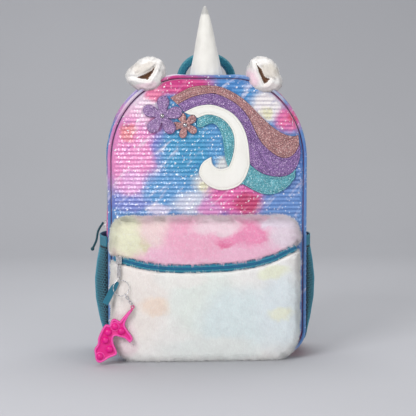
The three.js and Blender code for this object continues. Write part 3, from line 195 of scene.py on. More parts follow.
def sheet_faces(rows, columns):
    """Faces of a closed thin sheet: two layers of rows by columns, and the rim between them."""
    layer = rows * columns
    faces = []
    for r in range(rows - 1):
        for c in range(columns - 1):
            p = r * columns + c
            faces.append((p, p + columns, p + columns + 1, p + 1))
            faces.append((layer + p, layer + p + 1, layer + p + columns + 1, layer + p + columns))
    rim = [*range(columns), *(r * columns + columns - 1 for r in range(1, rows)),
           *range(layer - 2, layer - columns - 1, -1), *(r * columns for r in range(rows - 2, 0, -1))]
    faces.extend((a, b, layer + b, layer + a) for a, b in zip(rim, rim[1:] + rim[:1]))
    return faces


def smooth_line(points, step):
    """Points along a Catmull-Rom curve through the given ones, a step apart or a little less."""
    points = np.asarray(points, float)
    padded = np.vstack([2 * points[0] - points[1], points, 2 * points[-1] - points[-2]])
    out = []
    for i in range(1, len(padded) - 2):
        p0, p1, p2, p3 = padded[i - 1:i + 3]
        steps = max(int(np.linalg.norm(p2 - p1) / step) + 1, 2)
        for t in np.linspace(0, 1, steps, endpoint=False):
            out.append(0.5 * (2 * p1 + (p2 - p0) * t + (2 * p0 - 5 * p1 + 4 * p2 - p3) * t * t
                              + (3 * p1 - p0 - 3 * p2 + p3) * t ** 3))
    out.append(points[-1])
    return np.array(out)


# Materials
def node(tree, kind, inputs=None, **settings):
    made = tree.nodes.new("ShaderNode" + kind)
    for key, value in settings.items():
        setattr(made, key, value)
    for key, value in (inputs or {}).items():
        if isinstance(value, bpy.types.NodeSocket):
            tree.links.new(value, made.inputs[key])
        else:
            made.inputs[key].default_value = value
    return made


def mixed(tree, factor, a, b, blend="MIX"):
    return node(tree, "Mix", {0: factor, 6: a, 7: b}, data_type="RGBA", blend_type=blend).outputs[2]


def maths(tree, operation, a, b=0.0):
    return node(tree, "Math", {0: a, 1: b}, operation=operation).outputs[0]


def ramped(tree, value, low, high, to_low=0.0, to_high=1.0):
    made = node(tree, "MapRange", {0: value, 1: low, 2: high, 3: to_low, 4: to_high})
    made.interpolation_type = "SMOOTHSTEP"
    return made.outputs[0]


def vectors(tree, operation, a, b):
    inputs = {0: a, 3 if operation == "SCALE" else 1: b}
    return node(tree, "VectorMath", inputs, operation=operation).outputs[0]


def axes(tree, vector):
    return node(tree, "SeparateXYZ", {0: vector}).outputs


def millimetres(tree):
    return vectors(tree, "SCALE", node(tree, "TexCoord").outputs["Object"], 1 / MM)


def noise(tree, coords, size, detail=2.0, roughness=0.5, output="Fac"):
    inputs = {"Vector": coords, "Scale": 1 / size, "Detail": detail, "Roughness": roughness}
    return node(tree, "TexNoise", inputs).outputs[output]


def wobbled(tree, coords, size, amount):
    """Coordinates pushed about by noise, so that charted blobs get soft uneven edges."""
    push = vectors(tree, "SUBTRACT", noise(tree, coords, size, 3.0, 0.6, "Color"), (0.5, 0.5, 0.5))
    return vectors(tree, "ADD", coords, vectors(tree, "SCALE", push, amount * 2))


def blobs(tree, coords, base, rows):
    """Soft blobs of colour over a base, each at x and z with two half sizes."""
    colour = base
    for x, z, wide, high, tone in rows:
        scaled = vectors(tree, "MULTIPLY", vectors(tree, "SUBTRACT", coords, (x, 0, z)), (1 / wide, 0, 1 / high))
        away = node(tree, "VectorMath", {0: scaled}, operation="LENGTH").outputs["Value"]
        colour = mixed(tree, ramped(tree, away, 1.25, 0.55), colour, srgb(*tone))
    return colour


def material(name, roughness=0.8, colour=None, **values):
    made = bpy.data.materials.new(name)
    made.use_nodes = True
    tree = made.node_tree
    shader = tree.nodes["Principled BSDF"]
    shader.inputs["Roughness"].default_value = roughness
    if colour:
        shader.inputs["Base Color"].default_value = srgb(*colour)
    for key, value in values.items():
        shader.inputs[key.replace("_", " ").title()].default_value = value
    return made, tree, shader


def bump(tree, shader, height, distance, strength=1.0):
    made = node(tree, "Bump", {"Height": height, "Strength": strength, "Distance": distance * MM})
    tree.links.new(made.outputs[0], shader.inputs["Normal"])


def paint(tree, shader, colour):
    tree.links.new(colour, shader.inputs["Base Color"])


FRONT_BLOBS = [
    (-40, 300, 60, 120, (84, 150, 208)),
    (-99, 357, 34, 28, (248, 226, 240)),
    (-40, 390, 52, 17, (222, 66, 142)),
    (-76, 376, 18, 13, (243, 130, 172)),
    (-110, 292, 44, 66, (243, 150, 205)),
    (-112, 322, 13, 13, (240, 140, 150)),
    (-64, 330, 22, 20, (236, 120, 180)),
    (-60, 300, 22, 24, (146, 136, 214)),
    (-30, 300, 40, 62, (62, 158, 206)),
    (26, 300, 30, 34, (84, 160, 214)),
    (-58, 240, 40, 30, (92, 160, 216)),
    (-112, 222, 32, 14, (126, 140, 214)),
    (-106, 254, 18, 16, (232, 170, 222)),
    (-70, 214, 20, 10, (216, 214, 240)),
    (26, 276, 16, 13, (218, 222, 222)),
    (4, 250, 26, 24, (232, 230, 226)),
    (-26, 222, 28, 18, (214, 222, 238)),
    (-6, 246, 9, 8, (232, 230, 196)),
    (42, 228, 46, 25, (238, 110, 178)),
    (58, 222, 22, 15, (206, 60, 116)),
    (4, 214, 20, 11, (226, 150, 208)),
    (108, 226, 34, 30, (104, 150, 214)),
    (116, 250, 28, 14, (96, 134, 196)),
    (36, 388, 26, 14, (72, 142, 208)),
    (58, 372, 22, 17, (70, 150, 212)),
    (84, 362, 26, 24, (246, 240, 240)),
    (84, 352, 9, 9, (236, 232, 196)),
    (116, 340, 22, 20, (238, 116, 172)),
    (122, 342, 8, 8, (232, 92, 130)),
    (130, 286, 12, 26, (96, 140, 208)),
]
GUSSET_BLOBS = [
    (-143, 350, 70, 15, (206, 130, 196)),
    (-143, 302, 70, 44, (44, 134, 202)),
    (-143, 238, 60, 24, (232, 224, 238)),
    (-143, 196, 60, 26, (236, 110, 178)),
    (-143, 120, 60, 46, (196, 196, 236)),
    (-143, 40, 60, 40, (84, 158, 210)),
    (143, 370, 60, 16, (222, 70, 140)),
    (143, 340, 60, 18, (244, 206, 226)),
    (143, 278, 60, 54, (54, 138, 204)),
    (143, 198, 60, 32, (204, 62, 126)),
    (143, 100, 60, 60, (196, 56, 130)),
    (143, 14, 60, 30, (190, 20, 100)),
    (0, 404, 60, 22, (130, 166, 220)),
    (-62, 404, 30, 18, (232, 214, 232)),
    (64, 404, 34, 18, (92, 150, 212)),
]


def print_group():
    """The galaxy print as a node group, with a colour output. The gusset has its own chart."""
    tree = bpy.data.node_groups.new("galaxy_print", "ShaderNodeTree")
    tree.interface.new_socket("Color", in_out="OUTPUT", socket_type="NodeSocketColor")
    out = tree.nodes.new("NodeGroupOutput")
    coords = millimetres(tree)
    soft = wobbled(tree, wobbled(tree, coords, 34, 11), 9, 4)
    front = blobs(tree, soft, srgb(104, 154, 214), FRONT_BLOBS)
    gusset = blobs(tree, soft, srgb(170, 150, 214), GUSSET_BLOBS)
    depth = axes(tree, coords)[1]
    colour = mixed(tree, ramped(tree, depth, -55.5, -52.5), front, gusset)
    mottle = noise(tree, coords, 5.5, 4.0, 0.65)
    colour = mixed(tree, ramped(tree, mottle, 0.58, 0.76, 0, 0.32), colour, srgb(250, 246, 250))
    colour = mixed(tree, ramped(tree, mottle, 0.44, 0.26, 0, 0.28), colour, srgb(70, 70, 170))
    x, y, z = axes(tree, coords)
    slant = node(tree, "CombineXYZ", {0: maths(tree, "MULTIPLY", maths(tree, "ADD", x, z), 0.22), 1: y,
                                      2: maths(tree, "SUBTRACT", z, x)}).outputs[0]
    streak = noise(tree, slant, 15, 4.0, 0.6)
    colour = mixed(tree, ramped(tree, streak, 0.54, 0.72, 0, 0.6), colour, srgb(246, 238, 250))
    colour = mixed(tree, ramped(tree, streak, 0.42, 0.26, 0, 0.3), colour, srgb(60, 60, 180))
    sheared = node(tree, "CombineXYZ", {0: maths(tree, "ADD", x, y), 1: maths(tree, "ADD", z, y)}).outputs[0]
    for size, radius, share in ((13.0, 0.12, 0.5), (6.0, 0.15, 0.6)):
        cells = node(tree, "TexVoronoi", {"Vector": sheared, "Scale": 1 / size}, voronoi_dimensions="2D")
        near = ramped(tree, cells.outputs["Distance"], radius, radius * 0.35)
        chosen = node(tree, "SeparateColor", {0: cells.outputs["Color"]}).outputs[0]
        star = maths(tree, "MULTIPLY", near, maths(tree, "GREATER_THAN", chosen, share))
        colour = mixed(tree, star, colour, srgb(255, 255, 255))
    tree.links.new(colour, out.inputs[0])
    return tree


PRINT = print_group()


def print_colour(tree):
    group = tree.nodes.new("ShaderNodeGroup")
    group.node_tree = PRINT
    return group.outputs[0]


def weave(tree, coords, pitch):
    """A plain weave's height: crossed waves, one along each axis."""
    waves = [maths(tree, "SINE", maths(tree, "MULTIPLY", along, 2 * math.pi / pitch))
             for along in axes(tree, coords)]
    return maths(tree, "ADD", maths(tree, "ADD", waves[0], waves[1]), waves[2])


def print_cloth():
    made, tree, shader = material("print_cloth", 0.62)
    coords = millimetres(tree)
    depth = axes(tree, coords)[1]
    back = maths(tree, "GREATER_THAN", depth, 54.2)
    cells = node(tree, "TexVoronoi", {"Vector": coords, "Scale": 1 / 4.0})
    dots = ramped(tree, cells.outputs["Distance"], 0.3, 0.1, 0, 0.5)
    plain = mixed(tree, dots, srgb(34, 122, 142), srgb(22, 92, 112))
    front = ramped(tree, depth, -54.0, -57.0)
    # Painted shade: the print on the front panel, under the sequins, is multiplied a little darker, so the cloth
    # between the rows of sequins reads as shade between them.
    print_with_row_shade = mixed(tree, front, print_colour(tree), srgb(240, 238, 244), "MULTIPLY")
    paint(tree, shader, mixed(tree, back, print_with_row_shade, plain))
    folds = maths(tree, "MULTIPLY", noise(tree, coords, 26, 3.0), 6.0)
    bump(tree, shader, maths(tree, "ADD", folds, weave(tree, coords, 1.3)), 0.14)
    return made


def sequin_finish():
    made, tree, shader = material("sequins", 0.4)
    shader.inputs["Coat Weight"].default_value = 1.0
    shader.inputs["Coat Roughness"].default_value = 0.06
    colour = print_colour(tree)
    paint(tree, shader, mixed(tree, 0.02, colour, srgb(255, 255, 255)))
    return made


def glitter(name, dark, light, glint_tone):
    """Glitter film on felt: grains of mixed tones, each facing its own way, and a few grains painted near white
    as painted glints.
    """
    made, tree, shader = material(name, 0.42)
    coords = millimetres(tree)
    grains = node(tree, "TexVoronoi", {"Vector": coords, "Scale": 1 / 0.75})
    pick = node(tree, "SeparateColor", {0: grains.outputs["Color"]}).outputs
    broad = noise(tree, coords, 16, 3.0)
    tone = maths(tree, "ADD", maths(tree, "MULTIPLY", pick[0], 0.75), maths(tree, "MULTIPLY", broad, 0.35))
    colour = mixed(tree, ramped(tree, tone, 0.12, 0.95), srgb(*dark), srgb(*light))
    # Painted glints: about six grains in a hundred are painted the near-white glint tone.
    colour = mixed(tree, maths(tree, "GREATER_THAN", pick[1], 0.94), colour, srgb(*glint_tone))
    paint(tree, shader, colour)
    tree.links.new(ramped(tree, pick[2], 0.5, 1.0, 0.1, 0.75), shader.inputs["Metallic"])
    bump(tree, shader, pick[0], 0.3)
    return made


def fibre(name, chart, base, speckle=0.0, whiten=0.3, sheen=0.6):
    """Plush pile: a charted colour with painted shade at the roots of the strands, uneven from strand to strand.
    """
    made, tree, shader = material(name, 0.85)
    coords = millimetres(tree)
    soft = wobbled(tree, wobbled(tree, coords, 40, 14), 12, 5)
    colour = blobs(tree, soft, srgb(*base), chart)
    shade = node(tree, "Attribute", attribute_name="shade").outputs["Fac"]
    colour = mixed(tree, whiten, colour, srgb(255, 255, 255))
    # Painted shade: where the shade attribute is low, at the roots of the strands and on the backing under them,
    # the colour is multiplied darker.
    dark = mixed(tree, 1.0, colour, srgb(234, 230, 232), "MULTIPLY")
    colour = mixed(tree, ramped(tree, shade, 0.0, 0.75), dark, colour)
    patch = noise(tree, coords, 3.0, 2.0)
    colour = mixed(tree, ramped(tree, patch, 0.5, 0.75, 0, speckle), colour, srgb(255, 255, 255))
    paint(tree, shader, colour)
    shader.inputs["Sheen Weight"].default_value = sheen
    shader.inputs["Specular IOR Level"].default_value = 0.2
    return made


def cloth(name, tone, other=None, pitch=1.0, roughness=0.8, depth=0.15, sheen=0.15):
    """Woven cloth with two mixed tones: the lighter one is painted where the weave rises, a painted highlight on
    the raised threads, and is also mixed in at random by a fine grain.
    """
    made, tree, shader = material(name, roughness)
    coords = millimetres(tree)
    grain = noise(tree, coords, 1.6, 3.0)
    lighter = srgb(*(other or [min(c + 22, 255) for c in tone]))
    height = weave(tree, coords, pitch)
    # Painted highlight on the weave's crests, plus a random grain of the lighter tone.
    crest_highlight_and_grain = maths(tree, "ADD", ramped(tree, height, -1.5, 1.5, 0, 0.6), maths(tree, "MULTIPLY", grain, 0.4))
    paint(tree, shader, mixed(tree, crest_highlight_and_grain, srgb(*tone), lighter))
    bump(tree, shader, height, depth)
    shader.inputs["Sheen Weight"].default_value = sheen
    return made


def metal(name, tone=(206, 206, 210), roughness=0.24):
    made, tree, shader = material(name, roughness, tone, metallic=1.0)
    wear = noise(tree, millimetres(tree), 2.0, 3.0)
    tree.links.new(ramped(tree, wear, 0.3, 0.8, roughness * 0.8, roughness * 1.5), shader.inputs["Roughness"])
    return made


def silicone(name, dark, light):
    made, tree, shader = material(name, 0.38)
    coords = millimetres(tree)
    tint = noise(tree, coords, 20, 2.0)
    paint(tree, shader, mixed(tree, tint, srgb(*dark), srgb(*light)))
    shader.inputs["Subsurface Weight"].default_value = 0.15
    shader.inputs["Subsurface Scale"].default_value = 3 * MM
    bump(tree, shader, noise(tree, coords, 0.6, 2.0), 0.03)
    return made


def satin():
    made, tree, shader = material("satin", 0.55)
    coords = millimetres(tree)
    tint = noise(tree, coords, 14, 4.0)
    colour = mixed(tree, tint, srgb(218, 215, 208), srgb(240, 238, 232))
    height = axes(tree, wobbled(tree, coords, 6, 1.5))[2]
    # Painted shade: the tip of the horn, from 487 to 491 mm up, is painted grey for the shade of its folded tip.
    paint(tree, shader, mixed(tree, ramped(tree, height, 487, 491, 0, 0.75), colour, srgb(166, 166, 164)))
    shader.inputs["Sheen Weight"].default_value = 0.3
    stretched = vectors(tree, "MULTIPLY", coords, (1, 1, 0.25))
    bump(tree, shader, noise(tree, stretched, 7, 3.0), 0.8, 0.8)
    return made


UPPER_CHART = [
    (-118, 180, 34, 40, (246, 246, 214)),
    (-92, 172, 10, 14, (232, 224, 186)),
    (-70, 186, 30, 24, (254, 226, 226)),
    (-20, 176, 46, 34, (255, 180, 212)),
    (26, 172, 13, 12, (238, 66, 146)),
    (74, 178, 17, 9, (240, 72, 150)),
    (50, 182, 40, 22, (254, 146, 196)),
    (10, 192, 36, 12, (255, 224, 236)),
    (118, 184, 34, 34, (244, 226, 240)),
    (96, 196, 30, 10, (246, 232, 248)),
]
LOWER_CHART = [
    (-104, 90, 50, 70, (252, 240, 228)),
    (-76, 84, 24, 14, (252, 216, 180)),
    (-122, 36, 22, 34, (250, 214, 222)),
    (-10, 92, 50, 60, (232, 248, 236)),
    (40, 60, 60, 50, (216, 244, 246)),
    (104, 70, 44, 60, (222, 244, 250)),
    (90, 126, 24, 10, (240, 248, 200)),
    (100, 70, 20, 10, (240, 248, 206)),
    (0, 20, 70, 18, (234, 246, 240)),
    (-40, 120, 40, 14, (250, 250, 240)),
]
EAR_CHART = [
    (-92, 412, 20, 8, (226, 216, 204)),
    (-84, 382, 24, 8, (250, 214, 226)),
    (62, 400, 10, 16, (250, 206, 222)),
    (88, 410, 13, 13, (224, 214, 198)),
    (90, 382, 20, 8, (240, 228, 224)),
]

MATERIALS = {
    "print": print_cloth(),
    "sequins": sequin_finish(),
    "rose": glitter("rose_glitter", (118, 78, 84), (206, 152, 150), (250, 226, 220)),
    "purple": glitter("purple_glitter", (84, 56, 112), (170, 132, 192), (232, 210, 240)),
    "lilac": glitter("lilac_glitter", (92, 70, 118), (176, 140, 190), (236, 214, 244)),
    "teal": glitter("teal_glitter", (48, 122, 138), (124, 198, 210), (222, 246, 246)),
    "felt": cloth("white_felt", (232, 230, 222), (246, 245, 240), 1.7, 0.9, 0.06, 0.3),
    "upper": fibre("plush_upper", UPPER_CHART, (255, 196, 224), 0.35, 0.12),
    "lower": fibre("plush_lower", LOWER_CHART, (252, 252, 246), 0.3, 0.5),
    "ear": fibre("ear_plush", EAR_CHART, (250, 246, 242), 0.2, 0.3),
    "ear_inside": cloth("ear_inside", (104, 66, 44), (146, 104, 74), 1.2),
    "tape": cloth("zipper_tape", (14, 112, 150), (34, 140, 174), 0.9),
    "tape_light": cloth("zipper_welt", (44, 160, 190), (76, 186, 208), 0.8),
    "coil": cloth("zipper_coil", (10, 112, 164), (40, 140, 188), 0.7, 0.45, 0.05),
    "webbing": cloth("webbing", (22, 112, 140), (62, 156, 180), 1.7, 0.72, 0.3),
    "handle": cloth("handle_webbing", (10, 112, 138), (62, 162, 180), 2.2, 0.72, 0.4),
    "net": cloth("net", (54, 146, 176), (96, 184, 206), 0.8, 0.75, 0.08),
    "net_back": cloth("net_back", (5, 34, 48), (8, 46, 60), 1.1, 0.9, 0.1),
    "cord": cloth("cord", (16, 70, 84), (34, 100, 114), 1.1, 0.8, 0.2),
    "seam": cloth("seam", (84, 34, 84), (112, 50, 104), 0.8, 0.8, 0.1),
    "satin": satin(),
    "metal": metal("metal"),
    "stud": metal("stud", (176, 172, 178), 0.1),
    "dark_metal": metal("dark_metal", (150, 148, 150), 0.28),
    "silicone": silicone("silicone", (214, 4, 124), (236, 14, 146)),
    # Painted highlight: a lighter copy of the pink silicone, for the light on the charm's raised rim and on two
    # bubble rings.
    "silicone_highlight": silicone("silicone_highlight", (238, 70, 168), (246, 96, 182)),
    "strap": cloth("strap_cloth", (24, 96, 114), (40, 124, 140), 2.4, 0.85, 0.35),
    "buckle": material("buckle", 0.42, (22, 84, 102))[0],
}


# Bag body
SECTIONS = np.array([
    (-1.0, 1.0, 1.0), (-0.93, 0.5, 0.35), (-0.78, 0.15, 0.0), (-0.4, 0.0, 0.0),
    (0.45, 0.0, 0.0), (0.78, 0.15, 0.0), (0.93, 0.5, 0.35), (1.0, 1.0, 1.0),
])


def arch(inset, lift):
    """The bag's arch outline in x and z, anticlockwise from the middle of its bottom."""
    half, top = HALF_WIDTH - inset, HEIGHT - inset
    side = []
    for x in np.linspace(0, half - BOTTOM_RADIUS, 14)[:-1]:
        side.append((x, lift))
    for a in np.linspace(-math.pi / 2, 0, 12):
        side.append((half - BOTTOM_RADIUS + BOTTOM_RADIUS * math.cos(a),
                     lift + BOTTOM_RADIUS * (1 + math.sin(a))))
    for z in np.linspace(lift + BOTTOM_RADIUS, top - SHOULDER_DROP, 26)[1:-1]:
        side.append((half, z))
    for a in np.linspace(0, math.pi / 2, 40):
        side.append((half - SHOULDER_WIDTH * (1 - math.cos(a)), top - SHOULDER_DROP * (1 - math.sin(a))))
    for x in np.linspace(half - SHOULDER_WIDTH, 0, 6)[1:]:
        side.append((x, top))
    side = np.array(side)
    mirrored = side[1:-1][::-1] * (-1, 1)
    return np.vstack([side, mirrored])


def build_shell():
    middle = HEIGHT / 2
    rings = []
    for size in (0.15, 0.3, 0.45, 0.6, 0.72, 0.82, 0.9, 0.95, 0.985):
        flat = arch(EDGE_INSET, EDGE_INSET)
        rise = PANEL_DOME * math.sqrt(1 - size * size)
        x, z = flat[:, 0] * size, middle + (flat[:, 1] - middle) * size
        rings.append(np.stack([x, np.full(len(x), -HALF_DEPTH - rise), z], 1))
    depths = np.sort(np.concatenate([
        np.linspace(-1, 1, 25), (-0.97, -0.9, 0.97, 0.9),
        ((ZIPPER_Y - GROOVE_REACH) / HALF_DEPTH, (ZIPPER_Y + GROOVE_REACH) / HALF_DEPTH),
    ]))
    for share in depths:
        inset = np.interp(share, SECTIONS[:, 0], SECTIONS[:, 1]) * EDGE_INSET
        lift = np.interp(share, SECTIONS[:, 0], SECTIONS[:, 2]) * EDGE_INSET
        y = share * HALF_DEPTH
        flat = arch(inset, lift)
        if abs(y - ZIPPER_Y) < GROOVE_REACH - 0.2:
            grooved = arch(inset + 1.6, lift)
            flat = np.where(smoothstep(ZIPPER_END - 6, ZIPPER_END, flat[:, 1:]) > 0.5, grooved, flat)
        rings.append(np.stack([flat[:, 0], np.full(len(flat), y), flat[:, 1]], 1))
    for size in (0.96, 0.85, 0.65, 0.4, 0.15):
        flat = arch(EDGE_INSET, EDGE_INSET)
        x, z = flat[:, 0] * size, middle + (flat[:, 1] - middle) * size
        rings.append(np.stack([x, np.full(len(x), HALF_DEPTH - 0.4), z], 1))
    verts = np.concatenate(rings)
    inside = smoothstep(-54, -48, verts[:, 1]) * smoothstep(54, 48, verts[:, 1])
    wrinkle = ripple(verts * (1, 0.5, 1), 46, 1) * 0.9 + ripple(verts * (0.4, 1, 1), 18, 2) * 0.35
    out = verts.copy()
    centre = np.array([0, 0, 190.0])
    away = (verts - centre) * (1, 0, 1)
    away /= np.maximum(np.linalg.norm(away, axis=1), 1)[:, None]
    flat_bottom = smoothstep(2, 14, verts[:, 2])
    out += away * (inside * (wrinkle - 0.5) * flat_bottom)[:, None]
    panel = verts[:, 1] < -54.9
    out[panel, 1] += ripple(verts[panel], 60, 3) * 0.4
    faces = [tuple(reversed(f)) for f in capped_grid(len(rings), len(rings[0]))]
    return add("bag_body", out, faces, MATERIALS["print"], replaces=["bag_shell"], slot="print")


BODY = build_shell()
BODY_TREE = surface_tree(BODY.data)


def front_of(tree, x, z, default=-60.0):
    """The depth and normal of the first surface met from the front."""
    hit, normal, _, _ = tree.ray_cast(Vector((x, -400, z)), Vector((0, 1, 0)))
    if hit is None:
        return default, Vector((0, -1, 0))
    return hit.y, normal if normal.y < 0 else -normal


def build_piping():
    standoff = 2.5 * math.sqrt(0.5)
    inset = EDGE_INSET * 0.72 - standoff
    for name, side in (("front_piping", -1), ("back_piping", 1)):
        flat = arch(inset, inset)
        y = side * (HALF_DEPTH + standoff * 0.55)
        path = np.stack([flat[:, 0], np.full(len(flat), y), flat[:, 1]], 1)
        verts, faces = tube(path, 2.2, 12, True)
        add(name + "_bead", verts, faces, MATERIALS["print"], replaces=[name], slot="print")
        seam = arch(inset + 2.3, inset + 2.3)
        line = np.stack([seam[:, 0], np.full(len(seam), y - side * 1.3), seam[:, 1]], 1)
        verts, faces = tube(line, 0.6, 6, True)
        add(name + "_seam", verts, faces, MATERIALS["seam"])


build_piping()


# Flat pieces over an outline
def inside_of(points, outline):
    """Which points lie inside a closed outline."""
    x, z = points[:, 0], points[:, 1]
    hit = np.zeros(len(points), bool)
    for (x1, z1), (x2, z2) in zip(outline, np.roll(outline, -1, 0)):
        if z1 == z2:
            continue
        crosses = (z1 > z) != (z2 > z)
        hit ^= crosses & (x < (x2 - x1) * (z - z1) / (z2 - z1) + x1)
    return hit


def resample(outline, step):
    closed = np.vstack([outline, outline[:1]])
    lengths = np.linalg.norm(np.diff(closed, axis=0), axis=1)
    out = []
    for a, b, length in zip(closed[:-1], closed[1:], lengths):
        for t in np.linspace(0, 1, max(int(length / step) + 1, 1), endpoint=False):
            out.append(a + (b - a) * t)
    return np.array(out)


def rounded(outline, rounds=2, sharp=50):
    """Cuts the shallow corners of an outline and keeps the sharp ones."""
    for _ in range(rounds):
        out = []
        count = len(outline)
        for i in range(count):
            before, here, after = outline[i - 1], outline[i], outline[(i + 1) % count]
            a, b = here - before, after - here
            turn = abs(math.degrees(math.atan2(a[0] * b[1] - a[1] * b[0], a @ b)))
            if turn > sharp:
                out.append(here)
            else:
                out.append(here - a * 0.25)
                out.append(here + b * 0.25)
        outline = np.array(out)
    return outline


def front_outlines(name, facing=-1):
    """The outlines in x and z of a node's front face, or of its back face where facing is 1."""
    bm = bmesh.new()
    bm.from_mesh(NODES[name].data)
    bmesh.ops.remove_doubles(bm, verts=bm.verts, dist=0.00002)
    bm.normal_update()
    ahead, places = {}, {}
    for edge in bm.edges:
        fronts = [f for f in edge.link_faces if f.normal.y * facing > 0.6]
        if len(fronts) == 1 and len(edge.link_faces) == 2:
            corner = next(c for c in fronts[0].loops if c.edge == edge)
            a, b = corner.vert, corner.link_loop_next.vert
            ahead.setdefault(a.index, []).append(b.index)
            for v in (a, b):
                places[v.index] = np.array((v.co.x / MM, v.co.z / MM))
    bm.free()

    def turn(before, here, after):
        a, b = places[here] - places[before], places[after] - places[here]
        return math.atan2(a[0] * b[1] - a[1] * b[0], a @ b)

    outlines = []
    while any(ahead.values()):
        start = next(k for k, v in ahead.items() if v)
        loop, here = [start], ahead[start].pop()
        while here != start and ahead.get(here):
            after = max(ahead[here], key=lambda k: turn(loop[-1], here, k))
            ahead[here].remove(after)
            loop.append(here)
            here = after
        outline = np.array([places[i] for i in loop])
        if len(outline) > 2 and abs(area_of(outline)) > 40:
            outlines.append(outline)
    return outlines


def area_of(outline):
    x, z = outline[:, 0], outline[:, 1]
    return 0.5 * float(np.sum(x * np.roll(z, -1) - np.roll(x, -1) * z))


def plaque(outline, base, height, rings, spacing, step=1.2):
    """A flat piece over an outline. base gives the depth of its back at x and z, height its thickness by the
    distance from the edge. Rings are distances from the edge that get points of their own."""
    if area_of(outline) < 0:
        outline = outline[::-1]
    edge = resample(outline, step)
    tree = kdtree.KDTree(len(edge))
    for i, p in enumerate(edge):
        tree.insert((p[0], p[1], 0), i)
    tree.balance()

    def distance(p):
        return tree.find((p[0], p[1], 0))[2]

    along = np.roll(edge, -1, 0) - np.roll(edge, 1, 0)
    along /= np.linalg.norm(along, axis=1)[:, None]
    inward = np.stack([-along[:, 1], along[:, 0]], 1)
    inner = []
    for reach in rings:
        ring = edge + inward * reach
        ring = ring[inside_of(ring, edge)]
        inner.extend(p for p in ring if distance(p) > reach - 0.12)
    low, high = edge.min(0), edge.max(0)
    xs = np.arange(low[0], high[0], spacing)
    zs = np.arange(low[1], high[1], spacing * 0.87)
    field = np.array([(x + (spacing / 2 if k % 2 else 0), z) for k, z in enumerate(zs) for x in xs])
    field = field[inside_of(field, edge)]
    inner.extend(p for p in field if distance(p) > rings[-1] + spacing * 0.5)
    points = np.vstack([edge, np.array(inner)])
    count = len(edge)
    ring_edges = [(i, (i + 1) % count) for i in range(count)]
    verts, _, faces, _, _, _ = geometry.delaunay_2d_cdt(
        [Vector(p) for p in points], ring_edges, [], 1, 1e-4)
    flat = np.array([tuple(v) for v in verts])
    away = np.array([distance(p) for p in flat])
    depth = np.array([base(p[0], p[1]) for p in flat])
    rise = np.array([height(d) for d in away])
    top = np.stack([flat[:, 0], depth - rise, flat[:, 1]], 1)
    rim = np.array([(p[0], base(p[0], p[1]) + 0.3, p[1]) for p in edge])
    all_verts = np.vstack([top, rim])
    all_faces = [tuple(f) for f in faces]
    start = len(top)
    for i in range(count):
        j = (i + 1) % count
        all_faces.append((i, start + i, start + j, j))
    all_faces.append(tuple(range(start, start + count))[::-1])
    return all_verts, all_faces, edge, inward, distance


def on_panel(x, z):
    return front_of(BODY_TREE, x, z)[0] - 0.35


FELT_OUTLINES = []
STITCH_REACH = 2.7


def stitches(edge, inward, distance, depth, pitch=3.1, radius=0.32):
    """A run of short thread stitches a set distance inside an edge."""
    parts, walked, last = [], pitch, None
    spots = edge + inward * STITCH_REACH
    for i, spot in enumerate(spots):
        if distance(spot) < STITCH_REACH - 0.15:
            last = None
            continue
        if last is not None:
            walked += float(np.linalg.norm(spot - last))
        last = spot
        if walked < pitch:
            continue
        walked = 0.0
        along = np.array([inward[i][1], -inward[i][0]])
        path = []
        for share, lift in ((-1.05, 0.5), (-0.45, -0.1), (0.45, -0.1), (1.05, 0.5)):
            x, z = spot + along * share
            path.append((x, depth(x, z) + lift, z))
        parts.append(tube(path, radius, 5))
    return parts


FELT_LOOKS = {
    "mane_rose": ("rose", "rose_glitter"), "mane_purple": ("purple", "purple_glitter"),
    "mane_white": ("felt", "white_felt"), "mane_teal_inner": ("teal", "teal_glitter"),
    "mane_teal_outer": ("teal", "teal_glitter"), "flower_large": ("lilac", "purple_glitter"),
    "flower_small": ("rose", "rose_glitter"),
}
THREADS = {"rose": (110, 72, 80), "purple": (64, 34, 96), "felt": (226, 222, 212), "teal": (40, 104, 116)}
LOCK_RISE, PETAL_RISE = 2.6, 3.4


def lock_height(d):
    groove = 0.75 * math.exp(-((d - STITCH_REACH) / 0.62) ** 2)
    return LOCK_RISE - 0.8 * (1 - min(d, 1)) ** 2 - groove + 0.35 * float(smoothstep(3.2, 8.0, d))


def petal_height(d):
    return PETAL_RISE - 0.8 * (1 - min(d, 1)) ** 2 + 0.35 * math.exp(-((d - 2.4) / 1.6) ** 2)


def groove_depth(x, z):
    return on_panel(x, z) - LOCK_RISE + 0.55


def build_felts():
    for name, (look, slot) in FELT_LOOKS.items():
        flower = name.startswith("flower")
        rings = (0.35, 0.9, 2.4) if flower else (0.45, 1.1, 1.9, STITCH_REACH, 3.5, 4.4)
        felts, threads = [], []
        for outline in front_outlines(name):
            outline = rounded(outline, 2, 60 if flower else 50)
            FELT_OUTLINES.append(outline)
            height = petal_height if flower else lock_height
            verts, faces, edge, inward, distance = plaque(outline, on_panel, height, rings, 3.0)
            felts.append((verts, faces))
            if not flower:
                threads.extend(stitches(edge, inward, distance, groove_depth))
        add(name + "_felt", *merge(felts), MATERIALS[look], replaces=[name], slot=slot)
        if not flower:
            thread = cloth(name + "_thread", THREADS[look], None, 0.8, 0.6, 0.05)
            add(name + "_stitches", *merge(threads), thread)


build_felts()


